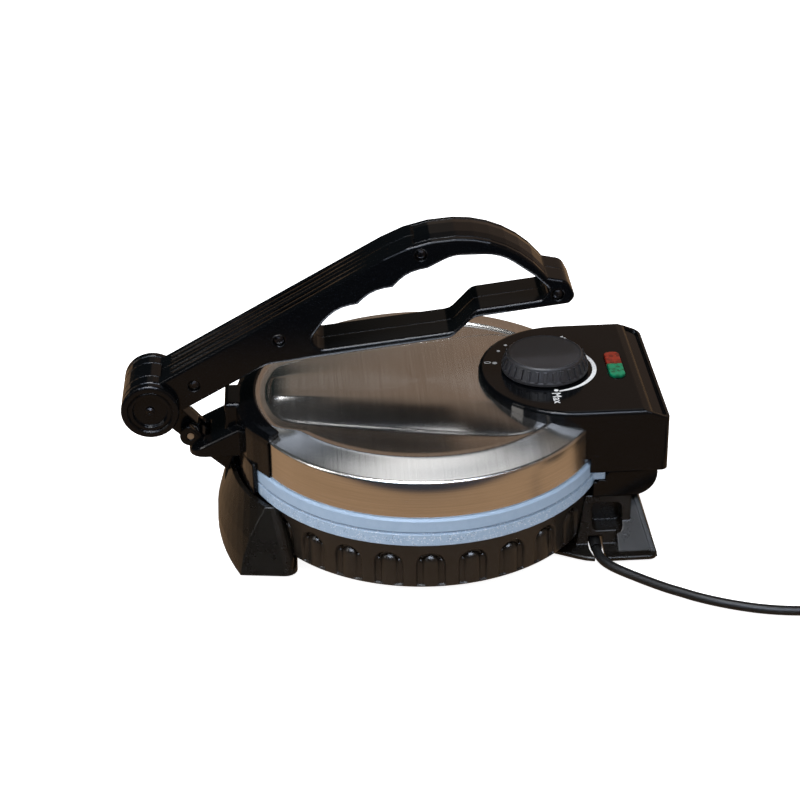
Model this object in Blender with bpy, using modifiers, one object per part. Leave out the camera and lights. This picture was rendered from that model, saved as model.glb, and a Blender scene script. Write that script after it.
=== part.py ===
import math

import bmesh
import bpy
from mathutils import Matrix, Vector

# Electric roti maker, closed, with its press handle folded back over the lid.
# X runs from the handle side to the dial side, the object is symmetric about Y = 0.
# Sizes are in metres. Places along X are measured from the middle of the plates.

MM = 0.001
DEGREE = math.pi / 180
TURN = 2 * math.pi
HALF = 0.5

# Fits and finish
CLEARANCE = 0.3 * MM
RUNNING = 0.4 * MM
OVERRUN = 4 * MM
MERGE = 0.001 * MM
SMOOTH_ANGLE = 35 * DEGREE
ROUND_STEPS = 72
SMALL_ROUND_STEPS = 24
CAP_STEPS = 36
KNOB_STEPS = 60
TINY_ROUND_STEPS = 12
FILLET_STEP = 18 * DEGREE
FINE_STEP = 9 * DEGREE
FINE_RADIUS = 12 * MM
EAR_STEP = 12 * DEGREE

# Cooking plates
PLATE_RADIUS = 127.5 * MM
PLATE_EDGE = 1.2 * MM
PLATE_THICKNESS = 6 * MM
RIM_WIDTH = 11 * MM
LOWER_RING_BOTTOM = 46 * MM
LOWER_RING_HEIGHT = 10 * MM
UPPER_RING_HEIGHT = 10 * MM
FACE_GAP = 0.3 * MM

# Heating elements and heat shield
ELEMENT_RADIUS = 80 * MM
ELEMENT_ROD = 3.2 * MM
ELEMENT_ARC = 320 * DEGREE
ELEMENT_STEPS = 28
ELEMENT_TAIL = 14 * MM
SHIELD_INSET = 10.5 * MM
SHIELD_RADIUS = PLATE_RADIUS - RIM_WIDTH - SHIELD_INSET
SHIELD_SHEET = 1 * MM
SHIELD_DEPTH = 11 * MM
SHIELD_STEPS = 48

# Base bowl
BOWL_BOTTOM = 9.4 * MM
BOWL_INSET = 5 * MM
BOWL_TAPER = 1.3 * MM
BOWL_TOP_RADIUS = PLATE_RADIUS - BOWL_INSET
BOWL_BOTTOM_RADIUS = BOWL_TOP_RADIUS - BOWL_TAPER
BOWL_WALL = 3 * MM
LEDGE_WIDTH = 6 * MM
LEDGE_HEIGHT = 3 * MM
LEDGE_RAISE = 4.4 * MM
COVER_THICKNESS = 2 * MM

# Flutes in the bowl: an arch that is open at the bottom, with a round rib standing in it
FLUTES_PER_SIDE = 9
FLUTE_PITCH = 13.4 * DEGREE
FLUTE_SHIFT = -1.6 * DEGREE
FLUTE_WIDTH = 19 * MM
FLUTE_TOP = 37 * MM
FLUTE_DEPTH = 2.3 * MM
ARCH_STEPS = 6
RIB_RADIUS = 5 * MM
RIB_SINK = 3.4 * MM

# Front stand, as levels from the floor up: height, nose, corner along X and Y, back along X and Y.
# Places along X are measured outwards from the plate's edge.
STAND_BOTTOM = 1.8 * MM
STAND_LEVELS = [
    (1.8 * MM, 20.5 * MM, 3.5 * MM, 84.0 * MM, -35.5 * MM, 89.0 * MM),
    (12.0 * MM, 20.0 * MM, 1.5 * MM, 80.0 * MM, -34.5 * MM, 84.8 * MM),
    (25.0 * MM, 16.5 * MM, -3.5 * MM, 75.5 * MM, -32.0 * MM, 79.3 * MM),
    (36.0 * MM, 12.5 * MM, -9.5 * MM, 72.0 * MM, -29.5 * MM, 74.6 * MM),
    (45.7 * MM, 9.0 * MM, -15.5 * MM, 68.9 * MM, -27.5 * MM, 70.4 * MM),
]
STAND_WALL = 3 * MM
STAND_FLOOR = 3 * MM
STAND_NOSE_STEPS = 16
STAND_CORNER = 8 * MM
STAND_CORNER_STEPS = 5

# Rear stand, with its places along X measured outwards from the plate's edge
REAR_TOP = 36.7 * MM
PILLAR_TOP_X = (PLATE_RADIUS - 19.5 * MM, PLATE_RADIUS + 12.5 * MM)
PILLAR_TOP_HALF = 58 * MM
PILLAR_FOOT_X = (PLATE_RADIUS - 27.5 * MM, PLATE_RADIUS + 9 * MM)
PILLAR_FOOT_HALF = 72 * MM
WING_TOP = 34 * MM
WING_TOP_X = PLATE_RADIUS + 17.5 * MM
WING_FOOT_X = PLATE_RADIUS + 27.5 * MM
WING_TOP_HALF = 51 * MM
WING_FOOT_HALF = 86 * MM
WING_THICKNESS = 3.5 * MM
FOOT_FRONT_X = PLATE_RADIUS - 53.5 * MM
FOOT_FRONT_HALF = 70 * MM
FOOT_SIDE_HALF = 88.5 * MM
FOOT_THICKNESS = 3.6 * MM
FOOT_NOSE_ROUND = 34 * MM
FOOT_CORNER_ROUND = 6 * MM
RECESS_X = (PLATE_RADIUS - 15.5 * MM, PLATE_RADIUS + 5.5 * MM)
RECESS_Z = (14 * MM, 32 * MM)
RECESS_ROUND = 4 * MM
RECESS_DEPTH = 5 * MM
WEB_MARGIN = 1.2 * MM

# Rubber feet
RUBBER_RADIUS = 8 * MM
RUBBER_HEIGHT = 1.5 * MM
FRONT_RUBBER = (15.5 * MM - PLATE_RADIUS, 73 * MM)
REAR_RUBBER = (PLATE_RADIUS + 15.5 * MM, 73 * MM)

# Lid cover: height of each level, and the outline of the raised top
COVER_SEAT_RADIUS = PLATE_RADIUS - 2.3 * MM
COVER_SHOULDER_RADIUS = COVER_SEAT_RADIUS - 0.6 * MM
COVER_RIM_RADIUS = COVER_SEAT_RADIUS - 1.6 * MM
COVER_LIP_RADIUS = COVER_SEAT_RADIUS - 2.8 * MM
COVER_SHOULDER = 91.5 * MM
COVER_RIM = 93.2 * MM
COVER_LIP = 93.9 * MM
CREASE_HEIGHT = 97.6 * MM
CREASE_RADIUS = COVER_SEAT_RADIUS - 25.9 * MM
CREASE_SPREAD = 5.5 * MM
CREASE_STEP = 1 * MM
CRESCENT_HEIGHT = 96.2 * MM
CREASE_FRONT_RADIUS = COVER_SEAT_RADIUS - 9.2 * MM
FRONT_SECTOR = 24 * DEGREE
FRONT_FADE = 12 * DEGREE
SLOPE_HALF = 64.9 * MM
SLOPE_SPREAD_SHARE = 0.215
SLOPE_FRONT_RADIUS = COVER_SEAT_RADIUS - 11.7 * MM
PLATEAU_HALF = 30.4 * MM
PLATEAU_SPREAD_SHARE = 0.146
PLATEAU_FRONT_RADIUS = COVER_SEAT_RADIUS - 16.2 * MM
PLATEAU_REAR_RADIUS = COVER_SEAT_RADIUS - 31.2 * MM
PLATEAU_EDGE = 3 * MM
PLATEAU_SHOULDER = 101.0 * MM
PLATEAU_HEIGHT = 101.8 * MM
OUTLINE_POWER = 14
COVER_SHEET = 1.2 * MM

# Rear housing on the lid
HOUSING_NOSE_X = PLATE_RADIUS - 88.3 * MM
HOUSING_NOSE_LENGTH = 62 * MM
HOUSING_REAR_X = PLATE_RADIUS + 35.5 * MM
HOUSING_TOP = 106.9 * MM
HOUSING_BOTTOM = 60 * MM
HOUSING_WALL = 2.5 * MM
HOUSING_EDGE = 2.6 * MM
HOUSING_CORNER = 5 * MM
BAND_X = HOUSING_REAR_X - 18.3 * MM
BAND_DROP = 7.3 * MM

# Hinge at the back
HINGE_X = PLATE_RADIUS + 31 * MM
HINGE_Z = 64.5 * MM
HINGE_EYE = 5 * MM
EYE_SWEEP = 110 * DEGREE
HINGE_PIN = 2.5 * MM
HINGE_INNER = 41.5 * MM
HINGE_EAR = 6.5 * MM
HINGE_ARM = 8 * MM
HINGE_COVER = 10 * MM
HOUSING_HALF = HINGE_INNER + HINGE_EAR + HINGE_ARM + HINGE_COVER
HINGE_SLOT_MARGIN = 1.4 * MM
HINGE_SLOT_TOP = 71.5 * MM

# Lower rear box, which carries the hinge ears
BOX_HALF = 60 * MM
BOX_TOP = 56.4 * MM
BOX_BOTTOM = 37 * MM
BOX_REAR_X = PLATE_RADIUS + 29.5 * MM
BOX_FRONT_X = PLATE_RADIUS - 23.5 * MM
BOX_ROUND = 17 * MM
BOX_NOTCH_X = (PLATE_RADIUS - 12.5 * MM, PLATE_RADIUS - 3 * MM)
BOX_NOTCH_Z = 48.5 * MM
BOX_WALL = 2.5 * MM
BOX_CAVITY_X = (PLATE_RADIUS + 4 * MM, PLATE_RADIUS + 27 * MM)
PLATE_TAB_X = PLATE_RADIUS - 6.5 * MM
PLATE_TAB_HALF = (52 * MM, 59 * MM)
PLATE_TAB_Z = (50.4 * MM, 55.6 * MM)

# Front bracket: a curved wall over the rim and a hood out to the pivot of the press arm
INSERT_ANGLE = 31 * DEGREE
SKIRT_ANGLE = 24 * DEGREE
INSERT_STEPS = 16
INSERT_INNER_RADIUS = COVER_SEAT_RADIUS - 8 * MM
INSERT_TOP_INNER = 99.4 * MM
INSERT_TOP_OUTER = 98 * MM
INSERT_SHOULDER_RADIUS = COVER_SEAT_RADIUS - 1.8 * MM
INSERT_EDGE_RADIUS = COVER_SEAT_RADIUS + 1.2 * MM
INSERT_SHOULDER = 93.5 * MM
INSERT_BULGE = 4.8 * MM
INSERT_BULGE_ANGLE = 14 * DEGREE
INSERT_SEAT = 66.6 * MM
SKIRT_INNER_RADIUS = PLATE_RADIUS + 0.7 * MM
SKIRT_OUTER_RADIUS = SKIRT_INNER_RADIUS + 3 * MM
SKIRT_BOTTOM = 47.6 * MM
SKIRT_TOP = 70 * MM
HOOD_HALF = 24 * MM
HOOD_CORNER = 11 * MM
HOOD_SHEET = 2.5 * MM
HOOD_ROOT_X = PLATE_RADIUS
HOOD_FRONT_X = PLATE_RADIUS + 36.5 * MM
HOOD_ROOT_TOP = 82 * MM
HOOD_FRONT_TOP = 64.2 * MM
HOOD_BOTTOM = 61 * MM
HOOD_EDGE = 1.2 * MM
HUMP_X = PLATE_RADIUS + 10.5 * MM
HUMP_TOP = 97 * MM
HUMP_HALF = 15 * MM
HUMP_EDGE = 2 * MM
SLOT_REACH = 13.5 * MM
LUG_INNER = 10 * MM
LUG_WIDTH = 5 * MM
LUG_RADIUS = 7.5 * MM

# Press arm, with its pivot on the lid and the barrel that carries the handle
PIVOT = (-PLATE_RADIUS - 35 * MM, 73 * MM)
PIVOT_PIN = 2.4 * MM
PIVOT_HUB = 7 * MM
BARREL = (-PLATE_RADIUS - 60.6 * MM, 99.1 * MM)
BARREL_RADIUS = 20 * MM
BARREL_PIN = 4 * MM
BARREL_HALF = 9.4 * MM
ARM_HALF = 6 * MM
LINK_HALF_DEPTH = 8 * MM
TOE_TIP_X = -PLATE_RADIUS - 1.5 * MM
TOE_NECK_X = -PLATE_RADIUS - 5.7 * MM
TOE_TOP = 39.5 * MM
TOE_BOTTOM = 34.5 * MM
ARM_HEEL = (-PLATE_RADIUS - 9.9 * MM, 38.4 * MM)
ARM_SHOULDER = (-PLATE_RADIUS - 27.9 * MM, 70.2 * MM)
ARM_BEND = (-PLATE_RADIUS - 6.5 * MM, 57 * MM)
NOTCH_HALF = 8 * MM
NOTCH_BOTTOM = 32.5 * MM
SPRING_WIRE = 0.5 * MM
SPRING_RADIUS = 4.6 * MM
SPRING_TURNS = 2
SPRING_PITCH = 1.12 * MM
SPRING_STEPS = 9
SPRING_LEG_RISE = 3 * MM

# Barrel caps and their screws
CAP_GAP = 0.4 * MM
CAP_THICKNESS = 6 * MM
CAP_EDGE = 1.4 * MM
CAP_EDGE_SHARE = 0.3
CAP_GROOVE_RADIUS = 14.9 * MM
CAP_GROOVE = 0.7 * MM
CAP_RECESS_RADIUS = 12 * MM
CAP_RECESS = 2.6 * MM
CAP_SCREW_RADIUS = 3 * MM
CAP_SCREW_HEAD = 1.8 * MM

# Handle, in the folded place: half its width, the arm and the grip loop
HANDLE_HALF = 19.5 * MM
HANDLE_EDGE = 1.5 * MM
HANDLE_ARM_HALF = 13.2 * MM
HANDLE_ARM_ANGLE = 28.07 * DEGREE
HUB_CLEARANCE = 1.2 * MM
# corners as (along X from the barrel, height, fillet radius)
HANDLE_UNDERSIDE = [
    (81.1 * MM, 128.6 * MM, 22 * MM),
    (207.1 * MM, 143.2 * MM, 9 * MM),
    (222.3 * MM, 158.0 * MM, 9 * MM),
    (287.1 * MM, 165.8 * MM, 4 * MM),
]
HANDLE_TIP = [
    (291.3 * MM, 171.0 * MM, 5 * MM),
    (285.3 * MM, 182.6 * MM, 7 * MM),
    (272.1 * MM, 185.4 * MM, 0),
]
HANDLE_CROWN = [
    (247.7 * MM, 216.7 * MM, 74 * MM),
    (184.4 * MM, 216.7 * MM, 100 * MM),
]
LOOP_FLOOR = [
    (111.6 * MM, 146.5 * MM, 5 * MM),
    (117.6 * MM, 138.2 * MM, 5 * MM),
    (208.7 * MM, 148.0 * MM, 9 * MM),
    (223.7 * MM, 163.9 * MM, 8 * MM),
    (268.7 * MM, 169.2 * MM, 4 * MM),
    (274.1 * MM, 176.4 * MM, 4 * MM),
    (263.1 * MM, 187.2 * MM, 10 * MM),
    (240.1 * MM, 204.2 * MM, 34 * MM),
    (208.1 * MM, 204.4 * MM, 24 * MM),
]
FINGER_CUSPS = [
    (191.5 * MM, 195.9 * MM),
    (167.9 * MM, 182.9 * MM),
    (144.2 * MM, 171.3 * MM),
    (120.5 * MM, 159.0 * MM),
]
FINGER_RISE = 3 * MM
FINGER_STEPS = 5
GROOVE_RADIUS = 1.6 * MM
GROOVE_SINK = 0.6 * MM
GROOVE_PLACES = (6 * MM, 12.5 * MM)
GROOVE_START = 24 * MM
GROOVE_LENGTH = 172 * MM
GRIP_HALF = 14.5 * MM
GRIP_THICKNESS = 2.4 * MM
GRIP_RISE = 0.9 * MM
GRIP_START_X = 183.1 * MM
GRIP_END_X = 270.1 * MM
SCREW_PLACES = [
    (30.8 * MM, 114.9 * MM),
    (90.1 * MM, 146.7 * MM),
    (186.9 * MM, 206.0 * MM),
    (279.0 * MM, 172.7 * MM),
]
SCREW_RECESS_RADIUS = 4.2 * MM
SCREW_RECESS = 2.2 * MM
SCREW_RADIUS = 3.3 * MM
SCREW_HEAD = 1.5 * MM
CROSS_WIDTH = 0.9 * MM
CROSS_DEPTH = 0.7 * MM
CROSS_REACH_SHARE = 0.62
CROSS_ANGLE = 23 * DEGREE

# Dial knob
KNOB_X = PLATE_RADIUS - 42 * MM
KNOB_RADIUS = 30.2 * MM
KNOB_TOP_RADIUS = 26.2 * MM
KNOB_FOOT = 1.2 * MM
KNOB_HEIGHT = 13 * MM
KNOB_FLANGE = 2.2 * MM
KNOB_DISH = 0.8 * MM
KNOB_RIBS = 30
KNOB_RIB_WIDTH = 2.2 * MM
KNOB_RIB_DEPTH = 1 * MM
SHAFT_RADIUS = 3 * MM
SHAFT_HOLE = 4 * MM
THERMOSTAT_RADIUS = 14 * MM
THERMOSTAT_Z = (76 * MM, 92 * MM)

# Lamps
LAMP_X = PLATE_RADIUS + 7 * MM
LAMP_HALF_WIDTH = 5.4 * MM
LAMP_HALF_LENGTH = 18 * MM
LAMP_RISE = 1.6 * MM
LAMP_SEAM = 0.3 * MM
HOLDER_HEIGHT = 12 * MM
HOLDER_MARGIN = 1.8 * MM

# Terminal block under the plate
BLOCK_SIZE = (16 * MM, 40 * MM, 14 * MM)
BLOCK_X = 70 * MM

# Mains cord, coil and plug
CORD_RADIUS = 3.3 * MM
CORD_SIDES = 2
EXIT_X = PLATE_RADIUS - 13.5 * MM
EXIT_Z = 5.2 * MM
RELIEF_START = 56 * MM
RELIEF_END = 76 * MM
RELIEF_ROOT_RADIUS = 4.6 * MM
RELIEF_TIP_RADIUS = 3.9 * MM
RELIEF_BORE = 3.6 * MM
EXIT_MARGIN = 1 * MM
EXIT_TOP = 10.6 * MM
CORD_SAMPLES = 2
COIL_CENTRE = (EXIT_X + 192 * MM, -119 * MM)
COIL_RADIUS = 37 * MM
COIL_HALF = 7.2 * MM
COIL_HEIGHT = 21 * MM
COIL_CORNER = 5 * MM
PLUG_BODY = (36 * MM, 25 * MM, 14 * MM)
PLUG_ROUND = 3 * MM
PLUG_PIN_RADIUS = 2.4 * MM
PLUG_PIN_LENGTH = 19 * MM
PLUG_PIN_HALF_SPACING = 9.5 * MM
PLUG_NECK_LENGTH = 22 * MM
PLUG_NECK_RADIUS = 5.4 * MM
PLUG_NECK_TIP = 4 * MM

# Where the middle of the plates lies, so that the object's box is centred on the origin
PLATE_X = (BARREL_RADIUS - BARREL[0] - HINGE_X - HINGE_EYE) * HALF

# Levels that follow from the sizes above
LOWER_FACE = LOWER_RING_BOTTOM + LOWER_RING_HEIGHT
UPPER_FACE = LOWER_FACE + FACE_GAP
UPPER_RING_TOP = UPPER_FACE + UPPER_RING_HEIGHT
BOWL_TOP = LOWER_RING_BOTTOM - CLEARANCE
COVER_SEAT = UPPER_RING_TOP + CLEARANCE

# The cord's route on the floor: along X from the exit, along Y and height
CORD_ROUTE = [
    (0.0 * MM, -76.3 * MM, 5.2 * MM),
    (0.3 * MM, -81.8 * MM, 4.9 * MM),
    (1.6 * MM, -87.4 * MM, 4.4 * MM),
    (4.4 * MM, -92.6 * MM, 3.9 * MM),
    (9.0 * MM, -98.2 * MM, 3.6 * MM),
    (15.0 * MM, -104.0 * MM, 3.5 * MM),
    (21.2 * MM, -109.6 * MM, 3.5 * MM),
    (27.6 * MM, -115.2 * MM, 3.5 * MM),
    (34.4 * MM, -120.8 * MM, 3.5 * MM),
    (41.4 * MM, -126.2 * MM, 3.5 * MM),
    (49.0 * MM, -131.2 * MM, 3.5 * MM),
    (58.0 * MM, -137.2 * MM, 3.5 * MM),
    (69.0 * MM, -143.2 * MM, 3.5 * MM),
    (82.0 * MM, -149.0 * MM, 3.5 * MM),
    (97.0 * MM, -154.2 * MM, 3.5 * MM),
    (113.0 * MM, -157.6 * MM, 3.5 * MM),
    (130.0 * MM, -159.4 * MM, 3.5 * MM),
    (148.0 * MM, -160.0 * MM, 3.5 * MM),
    (168.0 * MM, -160.0 * MM, 3.5 * MM),
]

# Materials: colour, roughness, metallic
FINISHES = {
    "glossy_black": ((0.012, 0.012, 0.014), 0.18, 0.0),
    "satin_black": ((0.022, 0.019, 0.017), 0.34, 0.0),
    "brushed_steel": ((0.62, 0.60, 0.57), 0.24, 1.0),
    "upper_coating": ((0.21, 0.29, 0.38), 0.45, 0.1),
    "speckled_coating": ((0.24, 0.31, 0.38), 0.55, 0.1),
    "knob_grey": ((0.045, 0.045, 0.050), 0.42, 0.0),
    "red_lens": ((0.62, 0.05, 0.03), 0.20, 0.0),
    "green_lens": ((0.01, 0.42, 0.16), 0.20, 0.0),
    "zinc": ((0.55, 0.55, 0.54), 0.35, 1.0),
    "dark_screw": ((0.06, 0.06, 0.065), 0.30, 0.8),
    "rubber": ((0.02, 0.02, 0.02), 0.80, 0.0),
    "cord_rubber": ((0.03, 0.03, 0.032), 0.55, 0.0),
    "white_nylon": ((0.75, 0.73, 0.68), 0.50, 0.0),
}

PARTS = None
CUTTERS = None
ORIGINS = {}
BODIES = {}


def clear_scene():
    for obj in list(bpy.data.objects):
        bpy.data.objects.remove(obj, do_unlink=True)


def make_collections():
    global PARTS, CUTTERS
    bpy.data.scenes.new("bench")
    PARTS = bpy.data.collections.new("roti_maker")
    CUTTERS = bpy.data.collections.new("cutters")
    for collection in (PARTS, CUTTERS):
        bpy.context.scene.collection.children.link(collection)


def at(x, y, z):
    """A point given from the middle of the plates."""
    return Vector((PLATE_X + x, y, z))


def material(name):
    found = bpy.data.materials.get(name)
    if found:
        return found
    colour, roughness, metallic = FINISHES[name]
    made = bpy.data.materials.new(name)
    made.use_nodes = True
    shader = made.node_tree.nodes["Principled BSDF"]
    shader.inputs["Base Color"].default_value = (*colour, 1)
    shader.inputs["Roughness"].default_value = roughness
    shader.inputs["Metallic"].default_value = metallic
    return made


def joint_empty(name, place, parent=None):
    empty = bpy.data.objects.new(name, None)
    PARTS.objects.link(empty)
    empty.location = place
    ORIGINS[name] = place.copy()
    BODIES[name] = empty
    if parent:
        empty.parent = BODIES[parent]
        empty.location = place - ORIGINS[parent]


def attach(obj, body):
    if body:
        obj.parent = BODIES[body]
        obj.location = obj.location - ORIGINS[body]
    return obj


def as_part(obj, finish, body):
    PARTS.objects.link(obj)
    obj.data.materials.clear()
    obj.data.materials.append(material(finish))
    for polygon in obj.data.polygons:
        polygon.material_index = 0
    obj.data.shade_smooth()
    obj.data.set_sharp_from_angle(angle=SMOOTH_ANGLE)
    return attach(obj, body)


def as_cutter(obj, target, operation="DIFFERENCE"):
    CUTTERS.objects.link(obj)
    obj.hide_render = True
    obj.display_type = "WIRE"
    if target.parent:
        obj.parent = target.parent
        obj.location = obj.location - ORIGINS[target.parent.name]
    cut = target.modifiers.new(obj.name, "BOOLEAN")
    cut.operation = operation
    cut.solver = "EXACT"
    cut.object = obj
    return obj


def from_bmesh(name, shape, place):
    bmesh.ops.recalc_face_normals(shape, faces=shape.faces)
    mesh = bpy.data.meshes.new(name)
    shape.to_mesh(mesh)
    shape.free()
    obj = bpy.data.objects.new(name, mesh)
    obj.location = place
    return obj


def baked(source):
    """The mesh that an unlinked object gives after its modifiers, on a new object."""
    bench = bpy.data.scenes["bench"]
    bench.collection.objects.link(source)
    layer = bench.view_layers[0]
    layer.update()
    graph = layer.depsgraph
    mesh = bpy.data.meshes.new_from_object(source.evaluated_get(graph))
    shape = bmesh.new()
    shape.from_mesh(mesh)
    bmesh.ops.remove_doubles(shape, verts=shape.verts, dist=MERGE)
    bmesh.ops.recalc_face_normals(shape, faces=shape.faces)
    shape.to_mesh(mesh)
    shape.free()
    obj = bpy.data.objects.new(source.name, mesh)
    obj.location = source.location
    name = source.name
    bpy.data.objects.remove(source, do_unlink=True)
    obj.name = name
    return obj


def box(name, low, high):
    shape = bmesh.new()
    bmesh.ops.create_cube(shape, size=1)
    size = [high[axis] - low[axis] for axis in range(3)]
    bmesh.ops.scale(shape, vec=size, verts=shape.verts)
    centre = [(high[axis] + low[axis]) * HALF for axis in range(3)]
    return from_bmesh(name, shape, at(*centre))


def cylinder(name, radius, low, high, place, axis="Z", steps=SMALL_ROUND_STEPS, tip=None):
    """A cylinder or cone from low to high along its axis, through the point place."""
    shape = bmesh.new()
    tip = radius if tip is None else tip
    bmesh.ops.create_cone(shape, cap_ends=True, segments=steps, radius1=radius, radius2=tip,
                          depth=high - low)
    middle = (high + low) * HALF
    offset = Vector((0, 0, middle))
    turn = Matrix.Identity(4)
    if axis == "Y":
        turn = Matrix.Rotation(-math.pi * HALF, 4, "X")
        offset = Vector((0, middle, 0))
    if axis == "X":
        turn = Matrix.Rotation(math.pi * HALF, 4, "Y")
        offset = Vector((middle, 0, 0))
    bmesh.ops.transform(shape, matrix=turn, verts=shape.verts)
    return from_bmesh(name, shape, at(*place) + offset)


def turned(name, profile, place, axis="Z", steps=ROUND_STEPS, closed=False):
    """A profile of (radius, height) that runs down its outer side, turned about an axis."""
    mesh = bpy.data.meshes.new(name)
    points = [(radius, 0, height) for radius, height in profile]
    edges = [(index, index + 1) for index in range(len(points) - 1)]
    if closed:
        edges.append((len(points) - 1, 0))
    mesh.from_pydata(points, edges, [])
    source = bpy.data.objects.new(name, mesh)
    spin = source.modifiers.new("turn", "SCREW")
    spin.axis = "Z"
    spin.steps = steps
    spin.render_steps = steps
    spin.use_merge_vertices = True
    spin.merge_threshold = MERGE
    made = baked(source)
    if axis == "-Y":
        made.data.transform(Matrix.Rotation(math.pi * HALF, 4, "X"))
    if axis == "Y":
        made.data.transform(Matrix.Rotation(-math.pi * HALF, 4, "X"))
    made.location = at(*place)
    return made


def fillet(before, corner, after, radius, steps=None):
    """The points of an arc that rounds a corner, or the corner itself."""
    corner = Vector(corner)
    first = (Vector(before) - corner).normalized()
    second = (Vector(after) - corner).normalized()
    spread = first.angle(second)
    if radius == 0 or spread > math.pi - DEGREE:
        return [corner]
    reach = radius / math.tan(spread * HALF)
    centre = corner + (first + second).normalized() * (radius / math.sin(spread * HALF))
    start = corner + first * reach - centre
    sweep = math.pi - spread
    fine = FINE_STEP if radius > FINE_RADIUS else FILLET_STEP
    steps = steps or max(2, round(sweep / fine))
    side = 1 if first.cross(second) < 0 else -1
    arc = []
    for step in range(steps + 1):
        angle = side * sweep * step / steps
        turned_point = Vector((start.x * math.cos(angle) - start.y * math.sin(angle),
                               start.x * math.sin(angle) + start.y * math.cos(angle)))
        arc.append(centre + turned_point)
    return arc


def rounded(corners):
    """An outline from corners given as (across, up, fillet radius)."""
    points = []
    for index, (across, up, radius) in enumerate(corners):
        before = corners[index - 1][:2]
        after = corners[(index + 1) % len(corners)][:2]
        points.extend(fillet(before, (across, up), after, radius))
    return points


def rectangle(low, high, radius=0):
    return rounded([
        (low[0], low[1], radius),
        (high[0], low[1], radius),
        (high[0], high[1], radius),
        (low[0], high[1], radius),
    ])


def flat(name, outlines, low, high, edge=0, inset=0, upright=False):
    """A flat piece from closed outlines. Upright pieces lie in XZ and reach from low to high along Y."""
    curve = bpy.data.curves.new(name, "CURVE")
    curve.dimensions = "2D"
    curve.fill_mode = "BOTH"
    curve.extrude = (high - low) * HALF - edge
    curve.bevel_depth = edge
    curve.bevel_resolution = 1
    curve.offset = -edge - inset
    for outline in outlines:
        spline = curve.splines.new("POLY")
        spline.points.add(len(outline) - 1)
        for point, (across, up) in zip(spline.points, outline):
            point.co = (across, up, 0, 1)
        spline.use_cyclic_u = True
    made = baked(bpy.data.objects.new(name, curve))
    middle = (high + low) * HALF
    if upright:
        made.data.transform(Matrix.Rotation(math.pi * HALF, 4, "X"))
        made.location = at(0, middle, 0)
    else:
        made.location = at(0, 0, middle)
    return made


def loft(name, loops, split=False):
    """A closed solid through loops of equally many points, with flat ends. Twisted sides are split."""
    shape = bmesh.new()
    rings = [[shape.verts.new(point) for point in loop] for loop in loops]
    count = len(loops[0])
    for lower, upper in zip(rings, rings[1:]):
        for index in range(count):
            follow = (index + 1) % count
            corners = (lower[index], lower[follow], upper[follow], upper[index])
            if split:
                shape.faces.new(corners[:3])
                shape.faces.new((corners[0], *corners[2:]))
            else:
                shape.faces.new(corners)
    shape.faces.new(rings[0])
    shape.faces.new(rings[-1])
    return from_bmesh(name, shape, at(0, 0, 0))


def tube(name, points, radius, place, sides=CORD_SIDES):
    curve = bpy.data.curves.new(name, "CURVE")
    curve.dimensions = "3D"
    curve.fill_mode = "FULL"
    curve.bevel_depth = radius
    curve.bevel_resolution = sides
    curve.use_fill_caps = True
    spline = curve.splines.new("POLY")
    spline.points.add(len(points) - 1)
    for point, co in zip(spline.points, points):
        point.co = (*co, 1)
    obj = bpy.data.objects.new(name, curve)
    obj.location = place
    return obj


def joined(name, pieces):
    """One helper object from several solids that stay apart."""
    shape = bmesh.new()
    for piece in pieces:
        piece.data.transform(Matrix.Translation(piece.location))
        shape.from_mesh(piece.data)
        bpy.data.objects.remove(piece, do_unlink=True)
    return from_bmesh(name, shape, Vector((0, 0, 0)))


def smooth_between(value, low, high):
    share = min(max((value - low) / (high - low), 0), 1)
    return share * share * (3 - 2 * share)



def plate_profile(face, ring_edge, plate_back):
    """Outline of a plate, from the middle of its face to the middle of its back."""
    inward = PLATE_EDGE if ring_edge > face else -PLATE_EDGE
    return [
        (0, face),
        (PLATE_RADIUS - PLATE_EDGE, face),
        (PLATE_RADIUS, face + inward),
        (PLATE_RADIUS, ring_edge - inward),
        (PLATE_RADIUS - PLATE_EDGE, ring_edge),
        (PLATE_RADIUS - RIM_WIDTH, ring_edge),
        (PLATE_RADIUS - RIM_WIDTH, plate_back),
        (0, plate_back),
    ]


def make_lower_plate():
    profile = plate_profile(LOWER_FACE, LOWER_RING_BOTTOM, LOWER_FACE - PLATE_THICKNESS)
    plate = as_part(turned("lower_plate", profile, (0, 0, 0)), "speckled_coating", "base")
    inner, outer = PLATE_TAB_HALF
    reach = math.sqrt((PLATE_RADIUS - RIM_WIDTH * HALF) ** 2 - outer ** 2)
    tabs = []
    for side in (-1, 1):
        low, high = sorted((side * inner, side * outer))
        tabs.append(box("tab", (reach, low, PLATE_TAB_Z[0]), (PLATE_TAB_X, high, PLATE_TAB_Z[1])))
    as_cutter(joined("lower_plate_tabs", tabs), plate, "UNION")


def hinge_eye_outline(root_x, root_low, root_high, eye):
    """An arm seen from the side: a bar from the root that ends in an eye round the hinge."""
    centre = Vector((HINGE_X, HINGE_Z))
    points = [Vector((root_x, root_low))]
    start, end = -EYE_SWEEP, EYE_SWEEP
    steps = round((end - start) / FILLET_STEP)
    for step in range(steps + 1):
        angle = start + (end - start) * step / steps
        points.append(centre + Vector((math.cos(angle), math.sin(angle))) * eye)
    points.append(Vector((root_x, root_high)))
    return points


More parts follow.
